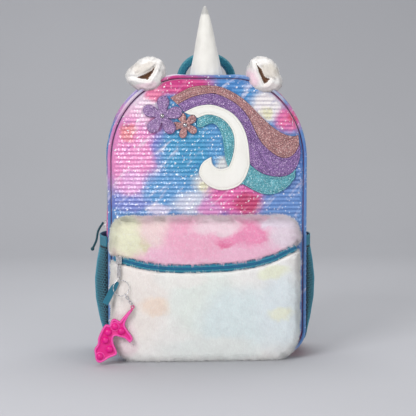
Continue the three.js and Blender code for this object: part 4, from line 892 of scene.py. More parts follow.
def build_studs():
    for name in ("stud_large", "stud_small"):
        low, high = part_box(name)
        centre = (np.array(low) + np.array(high)) / 2 / MM
        profile = [(3.5, 0.0), (3.5, 0.5), (3.15, 1.15), (2.5, 1.8), (1.7, 2.25), (0.85, 2.5)]
        base = high.y / MM
        verts = []
        for radius, rise in profile:
            for k in range(24):
                a = 2 * math.pi * k / 24
                x, z = centre[0] + radius * math.cos(a), centre[2] + radius * math.sin(a)
                verts.append((x, base - rise, z))
        faces = grid_faces(len(profile), 24)
        verts.append((centre[0], base - 2.6, centre[2]))
        tip = len(verts) - 1
        last = (len(profile) - 1) * 24
        faces.extend((last + k, last + (k + 1) % 24, tip) for k in range(24))
        faces.append(tuple(range(24))[::-1])
        add(name + "_dome", verts, faces, MATERIALS["stud"], replaces=[name], slot="metal")


build_studs()


SEQUIN_PITCH, SEQUIN_ROW, SEQUIN_RADIUS, SEQUIN_SIDES = 3.9, 5.9, 2.15, 10
SEQUIN_LOWEST = 198.0


def build_sequins():
    """Rows of small dished discs sewn over the print, left out under the felts and the pocket."""
    draw = np.random.default_rng(SEED)
    edge = arch(EDGE_INSET + 3, EDGE_INSET + 3)
    spots = []
    row = 0
    z = SEQUIN_LOWEST
    while z < HEIGHT - EDGE_INSET:
        shift = SEQUIN_PITCH / 2 if row % 2 else 0
        spots.extend((x + shift, z) for x in np.arange(-138, 138, SEQUIN_PITCH))
        z += SEQUIN_ROW
        row += 1
    spots = np.array(spots)
    keep = inside_of(spots, edge)
    for outline in FELT_OUTLINES:
        for dx, dz in ((0, 0), (1.6, 0), (-1.6, 0), (0, 1.6), (0, -1.6)):
            keep &= ~inside_of(spots + (dx, dz), outline)
    for name in ("ear_left", "ear_right"):
        low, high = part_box(name)
        x, z = spots[:, 0], spots[:, 1]
        keep &= ~((x > low.x / MM + 8) & (x < high.x / MM - 8) & (z > low.z / MM + 8))
    spots = spots[keep]
    verts, faces = [], []
    sides = SEQUIN_SIDES
    for x, z in spots:
        y, normal = front_of(BODY_TREE, x, z)
        lean = Vector((draw.normal(0, 0.05), 0, draw.normal(0, 0.05)))
        face = (normal + lean).normalized()
        across = face.cross(Vector((0, 0, 1))).normalized()
        up = across.cross(face)
        centre = Vector((x, y, z)) + normal * 0.5
        start = len(verts)
        verts.append(tuple(centre + face * 0.05))
        for radius, lift in ((0.55, 0.0), (SEQUIN_RADIUS, 0.12)):
            for k in range(sides):
                a = 2 * math.pi * k / sides
                place = centre + across * (radius * math.cos(a)) + up * (radius * math.sin(a))
                verts.append(tuple(place + face * lift))
        for k in range(sides):
            m = (k + 1) % sides
            faces.append((start, start + 1 + m, start + 1 + k))
            faces.append((start + 1 + k, start + 1 + m, start + 1 + sides + m, start + 1 + sides + k))
    add("sequins", verts, faces, MATERIALS["sequins"])


build_sequins()


# Plush pile
def fur(name, mesh, choose, count, length, width, droop, material, seed, slot=None, clump=9.0):
    """Closed three-sided spikes over the chosen faces, leaning in soft clumps."""
    mesh.calc_loop_triangles()
    co = coordinates(mesh)
    normals = np.zeros(len(mesh.vertices) * 3)
    mesh.vertex_normals.foreach_get("vector", normals)
    normals = normals.reshape(-1, 3)
    tris = np.zeros(len(mesh.loop_triangles) * 3, int)
    mesh.loop_triangles.foreach_get("vertices", tris)
    tris = tris.reshape(-1, 3)
    centre = co[tris].mean(1)
    facing = normals[tris].mean(1)
    facing /= np.maximum(np.linalg.norm(facing, axis=1), 1e-9)[:, None]
    tris = tris[choose(centre, facing)]
    a, b, c = (co[tris[:, i]] for i in range(3))
    area = np.linalg.norm(np.cross(b - a, c - a), axis=1)
    draw = np.random.default_rng(SEED + seed)
    picked = draw.choice(len(tris), count, p=area / area.sum())
    u, v = draw.random(count), draw.random(count)
    flip = u + v > 1
    u[flip], v[flip] = 1 - u[flip], 1 - v[flip]
    w = 1 - u - v
    corners = tris[picked]
    root = co[corners[:, 0]] * w[:, None] + co[corners[:, 1]] * u[:, None] + co[corners[:, 2]] * v[:, None]
    normal = normals[corners].mean(1)
    normal /= np.linalg.norm(normal, axis=1)[:, None]
    field = np.stack([ripple(root, clump * 2.2, seed + 20 + k) for k in range(3)], 1)
    fine = np.stack([ripple(root, clump * 0.8, seed + 30 + k) for k in range(3)], 1)
    lay = np.zeros((count, 3))
    lay[:, 2] = -(droop(root) if callable(droop) else droop)
    lean = field * 0.42 + fine * 0.34 + draw.normal(0, 0.24, (count, 3)) + lay
    direction = normal * 0.8 + lean - normal * (lean * normal).sum(1)[:, None]
    direction /= np.linalg.norm(direction, axis=1)[:, None]
    reach = length * draw.uniform(0.7, 1.15, count) * (1 + 0.18 * ripple(root, clump * 1.5, seed + 40))
    across = np.cross(direction, draw.normal(size=(count, 3)))
    across /= np.linalg.norm(across, axis=1)[:, None]
    other = np.cross(direction, across)
    foot = root - normal * 0.6
    points = np.zeros((count, 4, 3))
    for k in range(3):
        angle = 2 * math.pi * k / 3
        points[:, k] = foot + (across * math.cos(angle) + other * math.sin(angle)) * (width / 2)
    points[:, 3] = foot + direction * reach[:, None]
    points[:, :, 2] = np.maximum(points[:, :, 2], 0.3)
    start = np.arange(count)[:, None] * 4
    faces = np.concatenate([start + np.array(f) for f in ((0, 1, 3), (1, 2, 3), (2, 0, 3), (0, 2, 1))])
    obj = add(name, points.reshape(-1, 3), faces, material, slot=slot)
    obj.data.normals_split_custom_set_from_vertices(np.repeat(normal, 4, axis=0).tolist())
    tone = np.clip(draw.uniform(0.1, 0.65, count) + 0.14 * fine[:, 0] + 0.08 * field[:, 1], 0.02, 0.9)
    obj.visible_shadow = False
    # Painted shade at the roots: each strand's base corners get a low shade value and its tip a high one, so the
    # plush material darkens the roots. The tone that sets both varies at random and in soft patches.
    shade = np.stack([tone * 0.4] * 3 + [tone + 0.35], 1).reshape(-1)
    obj.data.attributes.new("shade", "FLOAT", "POINT").data.foreach_set("value", shade)
    return obj


# One shade value for a whole piece: low values get the plush material's painted root shade, 0.75 and over none.
def shade_flat(obj, value):
    shade = obj.data.attributes.new("shade", "FLOAT", "POINT")
    shade.data.foreach_set("value", [value] * len(obj.data.vertices))


SAG = ((-1.1, 1.15), (-0.92, 1), (-0.6, 0.25), (-0.22, 0), (0.3, 0.1), (0.65, 0.42), (0.92, 1), (1.1, 1.15))
SAG_LOW, SAG_LEFT, SAG_RIGHT = 133.0, 146.0, 159.0


def zipper_curve():
    """The line of the pocket zipper in x and z."""
    ends = [(share, rise, SAG_LEFT if share < 0 else SAG_RIGHT) for share, rise in SAG]
    return smooth_line([(POCKET_X + share * POCKET_HALF, SAG_LOW + (end - SAG_LOW) * rise)
                        for share, rise, end in ends], 2.0)


PILE_LENGTH, PILE_WIDTH = 6.2, 0.8


def build_pocket():
    zip_line = zipper_curve()
    heart = np.array([0, -45.0, 100.0])
    for node_name, look, slot, count in (
        ("pocket_upper", "upper", "plush_upper", 36000), ("pocket_lower", "lower", "plush_lower", 44000),
    ):
        mesh = soften(node_name, node_name + "_backing", 2.4, 3)
        backing = finish_piece(node_name + "_backing", mesh, MATERIALS[look], replaces=[node_name], slot=slot)
        # The backing under the pile gets a low shade value: painted shade, mostly the darker root colour.
        shade_flat(backing, 0.3)
        upper = node_name == "pocket_upper"

        def choose(centre, facing, upper=upper):
            middle = heart + ((0, 0, 70) if upper else (0, 0, -20))
            outward = ((centre - middle) / (136, 45, 100) * facing).sum(1)
            rim = facing[:, 2] if not upper else -facing[:, 2]
            near_zip = (rim > (0.75 if upper else 0.95)) & (np.abs(centre[:, 0] - POCKET_X) < 124)
            behind = centre[:, 1] > -57.5
            under = centre[:, 2] < 3.0
            return (outward > 0) & ~near_zip & ~behind & ~under & (facing[:, 1] < 0.5)

        def droop(root, upper=upper):
            near = np.interp(root[:, 0], zip_line[:, 0], zip_line[:, 1])
            return 0.8 * (smoothstep(9, 24, root[:, 2] - near) if upper else 1.0)

        fur(node_name + "_pile", mesh, choose, count, PILE_LENGTH, PILE_WIDTH, droop, MATERIALS[look],
            50 if upper else 60, slot)


build_pocket()


# Horn, ears and handle
HORN_PROFILE = np.array([(-0.03, 1.0), (0.0, 1.03), (0.06, 0.99), (0.2, 0.87), (0.5, 0.63), (0.8, 0.35),
                         (0.93, 0.2), (0.975, 0.13), (0.995, 0.06)])
HORN_RADIUS, HORN_RISE, HORN_Y, HORN_LEAN = 22.0, 97.0, -26.0, 2.0


def build_horn():
    rows, columns = 70, 56
    shares = np.linspace(-0.03, 0.995, rows)
    verts = []
    for h in shares:
        radius = HORN_RADIUS * np.interp(h, HORN_PROFILE[:, 0], HORN_PROFILE[:, 1])
        for k in range(columns):
            a = 2 * math.pi * k / columns
            gather = 0.035 * math.sin(15 * a + 1.3 * math.sin(3 * a)) * math.exp(-max(h, 0) / 0.07)
            seam = -0.05 * math.exp(-((a - 0.75) / 0.07) ** 2)
            twist = 0.014 * math.sin(2 * a + 11 * h) + 0.01 * math.sin(5 * a - 17 * h)
            tip_fold = -0.22 * math.exp(-((h - 0.955) / 0.014) ** 2) * (0.6 + 0.4 * math.cos(a))
            r = radius * (1 + gather + seam + twist + tip_fold)
            x, y = r * math.cos(a) - HORN_LEAN * max(h, 0), HORN_Y + r * math.sin(a)
            verts.append((x, y, HEIGHT + h * HORN_RISE))
    verts.append((-HORN_LEAN, HORN_Y, HEIGHT + HORN_RISE))
    faces = [tuple(reversed(f)) for f in grid_faces(rows, columns)]
    last = (rows - 1) * columns
    faces.extend((last + k, last + (k + 1) % columns, len(verts) - 1) for k in range(columns))
    faces.append(tuple(range(columns)))
    horn = add("horn_cone", verts, faces, MATERIALS["satin"], replaces=["horn"], slot="satin")
    recalculate(horn)


def recalculate(obj):
    """Turns every face of a closed piece outwards."""
    bm = bmesh.new()
    bm.from_mesh(obj.data)
    bmesh.ops.recalc_face_normals(bm, faces=bm.faces)
    bm.to_mesh(obj.data)
    bm.free()


EAR_SLITS = {
    "ear_left": ((-110, 399), (-98, 399.8), (-88, 404), (-79, 409), (-72.4, 415), (-77, 404.8), (-84, 394.8),
                 (-90, 396), (-100, 397.8)),
    "ear_right": ((66.6, 421), (71, 406), (78.5, 389.5), (83, 391), (88.5, 397), (80.5, 400), (75.5, 411)),
}


def distance_to(points, outline):
    """Distance from each point to the nearest side of a closed outline."""
    best = np.full(len(points), 1e9)
    for a, b in zip(outline, np.roll(outline, -1, 0)):
        run = b - a
        t = np.clip(((points - a) @ run) / (run @ run), 0, 1)
        best = np.minimum(best, np.linalg.norm(points - a - t[:, None] * run, axis=1))
    return best


def build_ears():
    """Plush ears, folded so that the two lips leave a slit with a brown lining."""
    for side, name in ((-1, "ear_left"), (1, "ear_right")):
        low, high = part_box(name)
        middle = (np.array(low) + np.array(high)) / 2 / MM
        slit = np.array(EAR_SLITS[name], float)
        mesh = soften(name, name + "_pad", 1.1, 8, (20.5, 15.2, 19.5))
        co = coordinates(mesh)
        distance = distance_to(co[:, [0, 2]], slit)
        inside = inside_of(co[:, [0, 2]], slit) & (co[:, 1] < middle[1])
        front = smoothstep(middle[1] + 2, middle[1] - 6, co[:, 1])
        gape = np.where(inside, 1.5 + 6.0 * smoothstep(0, 2.4, distance),
                        1.5 * np.exp(-(distance / 1.6) ** 2))
        lip = np.where(inside, 0, 2.0 * np.exp(-((distance - 4.2) / 2.6) ** 2))
        co[:, 1] += (gape - lip) * front
        mesh.vertices.foreach_set("co", (co * MM).reshape(-1))
        mesh.update()
        ear = finish_piece(name + "_pad", mesh, MATERIALS["ear"], replaces=[name], slot="ear_plush")
        shade_flat(ear, 0.8)
        mesh.materials.append(MATERIALS["ear_inside"])
        inner = [all(inside[v] for v in p.vertices) for p in mesh.polygons]
        mesh.polygons.foreach_set("material_index", np.array(inner, int))

        def choose(centre, face, slit=slit, middle=middle):
            flat = centre[:, [0, 2]]
            away = ~inside_of(flat, slit) & (distance_to(flat, slit) > 1.8)
            return away | (centre[:, 1] > middle[1])

        fur(name + "_pile", mesh, choose, 17000, 2.6, 0.6, 0.3, MATERIALS["ear"], 70 + side, "ear_plush", 5.0)


HANDLE_X, HANDLE_SPAN, HANDLE_RISE, HANDLE_WIDTH, HANDLE_THICK, HANDLE_Y = 4.0, 38.0, 28.0, 25.0, 12.0, 34.0


def strap_mesh(path, widths, thick, power=0.55, columns=28, across=(1, 0, 0), groove=0.0):
    """A padded strap along a path: a rounded flat section, with a stitched groove near each edge."""
    path = np.asarray(path, float)
    ahead = np.gradient(path, axis=0)
    ahead /= np.linalg.norm(ahead, axis=1)[:, None]
    across = np.asarray(across, float)
    normal = np.cross(ahead, across)
    normal /= np.linalg.norm(normal, axis=1)[:, None]
    widths = np.broadcast_to(widths, len(path))
    thick = np.broadcast_to(thick, len(path))
    verts = []
    for i, centre in enumerate(path):
        for k in range(columns):
            a = 2 * math.pi * k / columns
            c, s = math.cos(a), math.sin(a)
            wide = math.copysign(abs(c) ** power, c)
            high = math.copysign(abs(s) ** 0.75, s)
            dip = 1 - groove * math.exp(-((abs(wide) - 0.84) / 0.05) ** 2)
            verts.append(centre + across * (wide * widths[i] / 2) + normal[i] * (high * thick[i] / 2 * dip))
    return np.array(verts), capped_grid(len(path), columns)


def build_handle():
    angles = np.linspace(0.12, math.pi - 0.12, 60)
    path = [(HANDLE_X - HANDLE_SPAN * math.cos(a), HANDLE_Y,
             HEIGHT - HANDLE_THICK + (HANDLE_RISE + HANDLE_THICK) * math.sin(a) ** 0.8) for a in angles]
    path = [(x, y, max(z, HEIGHT - 4)) for x, y, z in path]
    verts, faces = strap_mesh(path, HANDLE_WIDTH, HANDLE_THICK, 0.5, 36, (0, 1, 0), 0.22)
    handle = add("handle_loop", verts, faces, MATERIALS["handle"], replaces=["handle"], slot="webbing")
    recalculate(handle)


build_horn()
build_ears()
build_handle()


# Zippers
def coil(path, across, pitch, reach, radius):
    """Teeth across a zipper's line, alternately longer to either side."""
    lengths = np.concatenate([[0], np.cumsum(np.linalg.norm(np.diff(path, axis=0), axis=1))])
    parts = []
    for i, at in enumerate(np.arange(pitch, lengths[-1] - pitch, pitch)):
        centre = np.array([np.interp(at, lengths, path[:, k]) for k in range(3)])
        side = np.array([np.interp(at, lengths, across[:, k]) for k in range(3)])
        shift = side * (0.35 if i % 2 else -0.35)
        line = [centre + shift + side * s for s in (-reach, -reach * 0.4, reach * 0.4, reach)]
        seed = np.cross(side, (0.3, 0.9, 0.2))
        parts.append(tube(line, radius, 5, seed=seed))
    return merge(parts)


def build_front_zipper():
    line = zipper_curve()
    line = line[np.abs(line[:, 0] - POCKET_X) < 129.6]
    tree = surface_tree(NODES["front_zipper"].data)
    offsets = np.linspace(-TAPE_REACH, TAPE_REACH, 11)
    depths = np.array([[front_of(tree, x, z + d * 0.8, np.nan)[0] for d in offsets] for x, z in line])
    depths = np.nanmin(depths, axis=1)
    good = ~np.isnan(depths)
    line, depths = line[good], depths[good]
    kernel = np.ones(5) / 5
    depths = np.convolve(np.pad(depths, 2, mode="edge"), kernel, "valid")
    verts = []
    for thickness in (0.0, 1.4):
        for (x, z), y in zip(line, depths):
            verts.extend((x, y + thickness + 0.02 * d * d, z + d) for d in offsets)
    tape = add("front_zipper_tape", verts, sheet_faces(len(line), len(offsets)), MATERIALS["tape"],
               replaces=["front_zipper"], slot="zipper_tape")
    recalculate(tape)
    path = np.array([(x, y - 0.55, z) for (x, z), y in zip(line, depths)])
    across = np.tile((0.0, 0.0, 1.0), (len(path), 1))
    add("front_zipper_coil", *coil(path, across, 1.55, 1.75, 0.5), MATERIALS["coil"], slot="zipper_tape")
    welts = [tube(path + (0, 0.35, side * 2.9), 0.75, 8, seed=(0, 1, 0)) for side in (-1, 1)]
    add("front_zipper_welts", *merge(welts), MATERIALS["tape_light"], slot="zipper_tape")


def build_main_zipper():
    outer, inner, crown = arch(1.0, 1.0), arch(2.4, 2.4), arch(0.35, 0.35)
    keep = outer[:, 1] > ZIPPER_END + 0.5
    outer, inner, crown = outer[keep], inner[keep], crown[keep]
    ys = np.linspace(ZIPPER_Y - TAPE_REACH, ZIPPER_Y + TAPE_REACH, 9)
    verts = [(x, y, z) for layer in (outer, inner) for x, z in layer for y in ys]
    tape = add("main_zipper_tape", verts, sheet_faces(len(outer), len(ys)), MATERIALS["tape"],
               replaces=["main_zipper"], slot="zipper_tape")
    recalculate(tape)
    path = np.array([(x, ZIPPER_Y, z) for x, z in crown])
    across = np.tile((0.0, 1.0, 0.0), (len(path), 1))
    add("main_zipper_coil", *coil(path, across, 1.9, 1.8, 0.5), MATERIALS["coil"], slot="zipper_tape")


build_front_zipper()
build_main_zipper()


# Side pockets
SIDE_TABLE = np.array([(0, 0.05), (0.2, 0.58), (0.42, 0.93), (0.62, 1.0), (0.82, 0.8), (1.0, 0.5)])
SIDE_TOP, SIDE_BOTTOM, SIDE_DEPTH, SIDE_BULGE, BINDING_RISE = 160.0, 24.0, 88.0, 16.0, 14.0


def side_point(side, across, z, standoff):
    share = np.clip((z - SIDE_BOTTOM) / (SIDE_TOP - SIDE_BOTTOM), 0, 1)
    bulge = np.interp(share, SIDE_TABLE[:, 0], SIDE_TABLE[:, 1]) * SIDE_BULGE
    y = (across - 0.5) * SIDE_DEPTH
    half = HALF_WIDTH - np.interp(y / HALF_DEPTH, SECTIONS[:, 0], SECTIONS[:, 1]) * EDGE_INSET
    if z < BOTTOM_RADIUS:
        half += math.sqrt(BOTTOM_RADIUS ** 2 - (BOTTOM_RADIUS - z) ** 2) - BOTTOM_RADIUS
    arc = math.sin(math.pi * min(max(across, 0), 1)) ** 0.7
    return (side * (half + CLEARANCE + standoff + bulge * arc), y, z)


def thin_sheet(outer, inner, columns, rows):
    """A closed sheet between two faces, each a function of two shares."""
    verts = []
    for face in (outer, inner):
        verts.extend(face(c / columns, r / rows) for r in range(rows + 1) for c in range(columns + 1))
    return verts, sheet_faces(rows + 1, columns + 1)


NET_PITCH = 4.1


def net_mesh(side):
    """A net of hexagons over a side pocket."""
    corners, places, faces = {}, [], []
    reach = NET_PITCH / math.sqrt(3)
    row = 0
    b = reach
    while b < SIDE_TOP - SIDE_BOTTOM - reach:
        a = NET_PITCH * (1.0 if row % 2 else 0.5)
        while a < SIDE_DEPTH - NET_PITCH / 2:
            face = []
            for k in range(6):
                angle = math.pi / 6 + k * math.pi / 3
                x, z = a + reach * math.cos(angle), b + reach * math.sin(angle)
                key = (round(x * 4), round(z * 4))
                if key not in corners:
                    corners[key] = len(places)
                    places.append(side_point(side, x / SIDE_DEPTH, SIDE_BOTTOM + z, 1.5))
                face.append(corners[key])
            faces.append(face)
            a += NET_PITCH
        b += reach * 1.5
        row += 1
    mesh = bpy.data.meshes.new("net")
    mesh.from_pydata((np.array(places) * MM).tolist(), [], faces)
    temp = bpy.data.objects.new("net", mesh)
    wire = temp.modifiers.new("wire", "WIREFRAME")
    wire.thickness = 0.8 * MM
    wire.use_even_offset = False
    return applied(temp, "net")


def build_side_pockets():
    for side, name in ((-1, "left"), (1, "right")):
        def wall(standoff, low, high, ribs=0.0):
            def face(u, v):
                rib = ribs * math.sin(u * 2 * math.pi * 26)
                return side_point(side, u, low + (high - low) * v, standoff + rib)
            return face

        cloth_wall = thin_sheet(wall(0.5, SIDE_BOTTOM, SIDE_TOP), wall(0.1, SIDE_BOTTOM, SIDE_TOP), 40, 44)
        back = add("side_pocket_%s_lining" % name, *cloth_wall, MATERIALS["net_back"],
                   replaces=["side_pocket_" + name], slot="mesh")
        recalculate(back)
        finish_piece("side_pocket_%s_net" % name, net_mesh(side), MATERIALS["net"], slot="mesh")
        top = SIDE_TOP + BINDING_RISE
        hem = thin_sheet(wall(2.1, SIDE_TOP - 1, top, 0.22), wall(0.1, SIDE_TOP - 1, top), 156, 6)
        binding = add("side_binding_%s_elastic" % name, *hem, MATERIALS["webbing"],
                      replaces=["side_binding_" + name], slot="webbing")
        recalculate(binding)
        for z in (SIDE_TOP + 1.2, top - 1.6):
            line = [side_point(side, u, z, 2.35) for u in np.linspace(0.02, 0.98, 60)]
            verts, faces = tube(line, 0.35, 5, seed=(0, 0, 1))
            add("side_stitch_%s_%d" % (name, z), verts, faces, MATERIALS["tape_light"])


build_side_pockets()


# Straps on the back
STRAP_ROWS = ((0, 0, 0), (0.1, 0.08, 0.55), (0.3, 0.4, 1), (0.55, 0.78, 1), (0.8, 0.97, 0.8), (1, 1, 0.6))
STRAP_WIDE, STRAP_THICK, STRAP_DROP, STRAP_TOP = 58.0, 12.0, 226.0, 368.0
STRAP_IN, STRAP_OUT, STRAP_BOW = 40.0, 44.0, 16.0
WEB_WIDE, WEB_THICK = 24.0, 1.8
BUCKLE_DROP = 20.4  # from a strap's end down to the slot of its buckle


def build_straps():
    for side, name in ((-1, "left"), (1, "right")):
        rest = HALF_DEPTH + CLEARANCE + STRAP_THICK / 2
        rows = [(side * (STRAP_IN + STRAP_OUT * s), rest + STRAP_BOW * b, STRAP_TOP - STRAP_DROP * d)
                for d, s, b in STRAP_ROWS]
        path = smooth_line(rows, 4.0)
        share = np.linspace(0, 1, len(path))
        width = STRAP_WIDE * np.where(share < 0.8, 1, 1 - 0.5 * (share - 0.8) / 0.2)
        channel = 1 - 0.16 * np.exp(-(((share * 6) % 1 - 0.5) / 0.05) ** 2) * (share > 0.1) * (share < 0.9)
        thick = (STRAP_THICK - 1.4) * channel * (0.75 + 0.25 * smoothstep(0, 0.06, share))
        strap = add("strap_%s_pad" % name, *strap_mesh(path, width - 3, thick, 0.42, 40, groove=0.3),
                    MATERIALS["strap"], replaces=["strap_" + name], slot="webbing")
        recalculate(strap)
        edges = []
        for edge in (-1, 1):
            line = path + np.stack([edge * (width / 2 - 1.7), np.zeros(len(path)), np.zeros(len(path))], 1)
            edges.append(tube(line, 1.7, 10, seed=(0, 1, 0)))
        add("strap_%s_binding" % name, *merge(edges), MATERIALS["webbing"], slot="webbing")

        x, y, z = rows[-1]
        slot = z - BUCKLE_DROP
        flat = HALF_DEPTH + CLEARANCE + 4.4 + WEB_THICK
        route = smooth_line([
            (x, y + 8, slot + 3.5), (x, y + 2.4, slot + 0.4), (x, y - 2.4, slot - 0.4),
            (x, y - 6.8, slot - 6.4),
            (x + side * WEB_WIDE * 0.9, flat + (y - flat) * 0.4, slot * 0.72),
            (x + side * WEB_WIDE * 1.6, flat, slot * 0.5),
            (x + side * WEB_WIDE * 1.3, HALF_DEPTH + CLEARANCE + WEB_THICK, slot * 0.3),
        ], 2.5)
        webbing = add("webbing_%s_strip" % name, *strap_mesh(route, WEB_WIDE, WEB_THICK, 0.25, 20),
                      MATERIALS["webbing"], replaces=["webbing_" + name], slot="webbing")
        recalculate(webbing)


build_straps()


# Hanging pull
def axes_of(name):
    """A node's middle and its three directions, longest first, with its half sizes along them."""
    points = coordinates(NODES[name].data)
    points = np.unique(points.round(3), axis=0)
    middle = (points.max(0) + points.min(0)) / 2
    _, _, directions = np.linalg.svd(points - points.mean(0), full_matrices=False)
    reach = np.abs((points - middle) @ directions.T).max(0)
    return middle, directions, reach


def dress(name, look, bevel):
    """A bevelled CAD node in a finer material."""
    obj = NODES[name]
    edge = obj.modifiers.new("bevel", "BEVEL")
    edge.width = bevel * MM
    edge.segments = 2
    edge.limit_method = "ANGLE"
    edge.angle_limit = math.radians(40)
    obj.data.materials.clear()
    obj.data.materials.append(MATERIALS[look])


def ring_path(middle, u, v, radius, steps, normal=None, turns=1.0, rise=0.0):
    out = []
    for t in np.linspace(0, 1, steps):
        a = t * turns * 2 * math.pi
        lift = normal * (rise * (t - 0.5)) if normal is not None else 0
        out.append(middle + u * (radius * math.cos(a)) + v * (radius * math.sin(a)) + lift)
    return np.array(out)


def add_pull(name, shape, look, replaces=(), slot="metal"):
    return add(name, *shape, MATERIALS[look], "front_pull", replaces, slot)


JUMP_RADIUS, JUMP_WIRE = 3.4, 0.55
SPLIT_RADIUS, SPLIT_WIRE, SPLIT_TURNS, SPLIT_RISE = 11.0, 0.46, 2.06, 0.95
LINK_LENGTH, LINK_WIDTH, LINK_WIRE, LINK_COUNT = 6.4, 4.4, 0.5, 5


def build_rings():
    middle, d, _ = axes_of("pull_jump_ring")
    path = ring_path(middle, d[0], d[1], JUMP_RADIUS, 33)[:-1]
    add_pull("pull_jump_ring_wire", tube(path, JUMP_WIRE, 10, True, seed=d[2]), "metal", ["pull_jump_ring"])
    middle, d, _ = axes_of("split_ring")
    path = ring_path(middle, d[0], d[1], SPLIT_RADIUS, 140, d[2], SPLIT_TURNS, SPLIT_RISE)
    add_pull("split_ring_coils", tube(path, SPLIT_WIRE, 10, seed=d[2]), "metal", ["split_ring"])
    for i in range(LINK_COUNT):
        name = "chain_link_%d" % (i + 1)
        middle, d, _ = axes_of(name)
        reach, side = LINK_LENGTH / 2 - LINK_WIRE, LINK_WIDTH / 2 - LINK_WIRE
        path = []
        for a in np.linspace(0, 2 * math.pi, 33)[:-1]:
            straight = math.copysign(reach - side, math.cos(a)) if abs(math.cos(a)) > 1e-9 else 0
            path.append(middle + d[0] * (straight + side * math.cos(a)) + d[1] * (side * math.sin(a)))
        add_pull(name + "_wire", tube(np.array(path), LINK_WIRE, 10, True, seed=d[2]), "metal", [name])


RIBBON_X, RIBBON_Y, RIBBON_LENGTH, RIBBON_WIDTH = -127.1, -93.2, 36.0, 8.5
RIBBON_ROUTE = ((0, 0), (-0.22, -0.3), (-0.4, -0.66), (-0.52, -0.84))


def build_ribbon():
    _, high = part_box("pull_ribbon")
    top = np.array([RIBBON_X, RIBBON_Y, high.z / MM - 0.3])
    rows = [top + np.array((x, 0, z)) * RIBBON_LENGTH for x, z in RIBBON_ROUTE]
    path = smooth_line(rows, 1.2)
    share = np.linspace(0, 1, len(path))
    width = RIBBON_WIDTH * (0.45 + 0.55 * np.minimum(share * 4, 1))
    parts = []
    for layer in (-0.36, 0.36):
        line = path + (0, layer, 0)
        ahead = np.gradient(line, axis=0)
        ahead /= np.linalg.norm(ahead, axis=1)[:, None]
        across = np.cross(ahead, (0, 1, 0))
        verts = []
        for i, centre in enumerate(line):
            for k in range(14):
                a = 2 * math.pi * k / 14
                c, s = math.cos(a), math.sin(a)
                wide = math.copysign(abs(c) ** 0.3, c)
                verts.append(centre + across[i] * (wide * width[i] / 2) + np.array((0, s * 0.33, 0)))
        parts.append((verts, capped_grid(len(line), 14)))
    ribbon = add_pull("pull_ribbon_fold", merge(parts), "webbing", ["pull_ribbon"], "webbing")
    recalculate(ribbon)


BUBBLES = ((0.52, 0.67), (0.35, 0.565), (0.29, 0.42), (0.4, 0.26), (0.16, 0.13), (0.69, 0.59))
CHARM_TIP = (0.955, 1.0)
CHARM_WIDE, CHARM_HIGH, CHARM_TURN = 54.0, 78.0, math.radians(2)
BUBBLE_RADIUS, BUBBLE_RISE = 5.4, 3.0


def build_charm():
    low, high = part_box("charm")
    place = np.array((high.x / MM - 2.75, high.y / MM - 2.5, high.z / MM - 0.7))
    back = high.y / MM
    outline = max(front_outlines("charm", 1), key=lambda o: abs(area_of(o)))
    outline = rounded(outline, 3, 78)

    def floor(x, z):
        return back - 0.1

    def height(d):
        return 3.0 + 1.2 * float(smoothstep(0.0, 1.4, d)) - 0.5 * float(smoothstep(2.6, 3.6, d))

    verts, faces, edge, inward, distance = plaque(outline, floor, height, (0.4, 1.0, 2.0, 3.1), 2.6, 0.9)
    parts, rings = [(verts, faces)], []
    for across, up in BUBBLES:
        x, z = (across - CHARM_TIP[0]) * CHARM_WIDE, (up - CHARM_TIP[1]) * CHARM_HIGH - 4.2
        cos, sin = math.cos(CHARM_TURN), math.sin(CHARM_TURN)
        centre = place + (x * cos + z * sin, 0, z * cos - x * sin)
        rows, columns = 9, 28
        dome = []
        for r in range(rows):
            a = r / (rows - 1) * math.pi / 2 * 0.97
            radius = BUBBLE_RADIUS * math.cos(a)
            y = back - 3.4 - (BUBBLE_RISE + 1.5) * math.sin(a)
            dome.extend((centre[0] + radius * math.cos(t), y, centre[2] + radius * math.sin(t))
                        for t in np.linspace(0, 2 * math.pi, columns + 1)[:-1])
        parts.append((dome, capped_grid(rows, columns)))
        ring = [(centre[0] + 5.6 * math.cos(t), back - 4.1, centre[2] + 5.6 * math.sin(t))
                for t in np.linspace(0, 2 * math.pi, 33)[:-1]]
        rings.append(tube(np.array(ring), 0.85, 8, True))
    eye = ring_path(place + (-0.07, 0, -2.1), np.array((1.0, 0, 0)), np.array((0, 0, 1.0)), 2.1, 25)[:-1]
    parts.append(tube(eye, 0.7, 10, True))
    charm = add_pull("charm_body", merge(parts), "silicone", ["charm"], "charm_silicone")
    recalculate(charm)
    line = [p + n * 1.5 for p, n in zip(edge, inward) if distance(p + n * 1.5) > 1.3]
    rim = np.array([(x, back - 4.2, z) for x, z in line])
    # The rim and the rings of two bubbles take the lighter silicone: painted highlight where light falls on
    # them.
    add_pull("charm_rim", merge([tube(rim, 1.35, 8, True), rings[0], rings[4]]), "silicone_highlight",
             slot="charm_silicone")


CORD_START, CORD_SPAN, CORD_RADIUS = np.array((-148.6, 10.0, 189.6)), 40.0, 1.62
CORD_ROUTE = ((0, 0, 0), (-0.18, -0.05, -0.3), (-0.26, -0.125, -0.66), (-0.38, -0.2, -0.92))


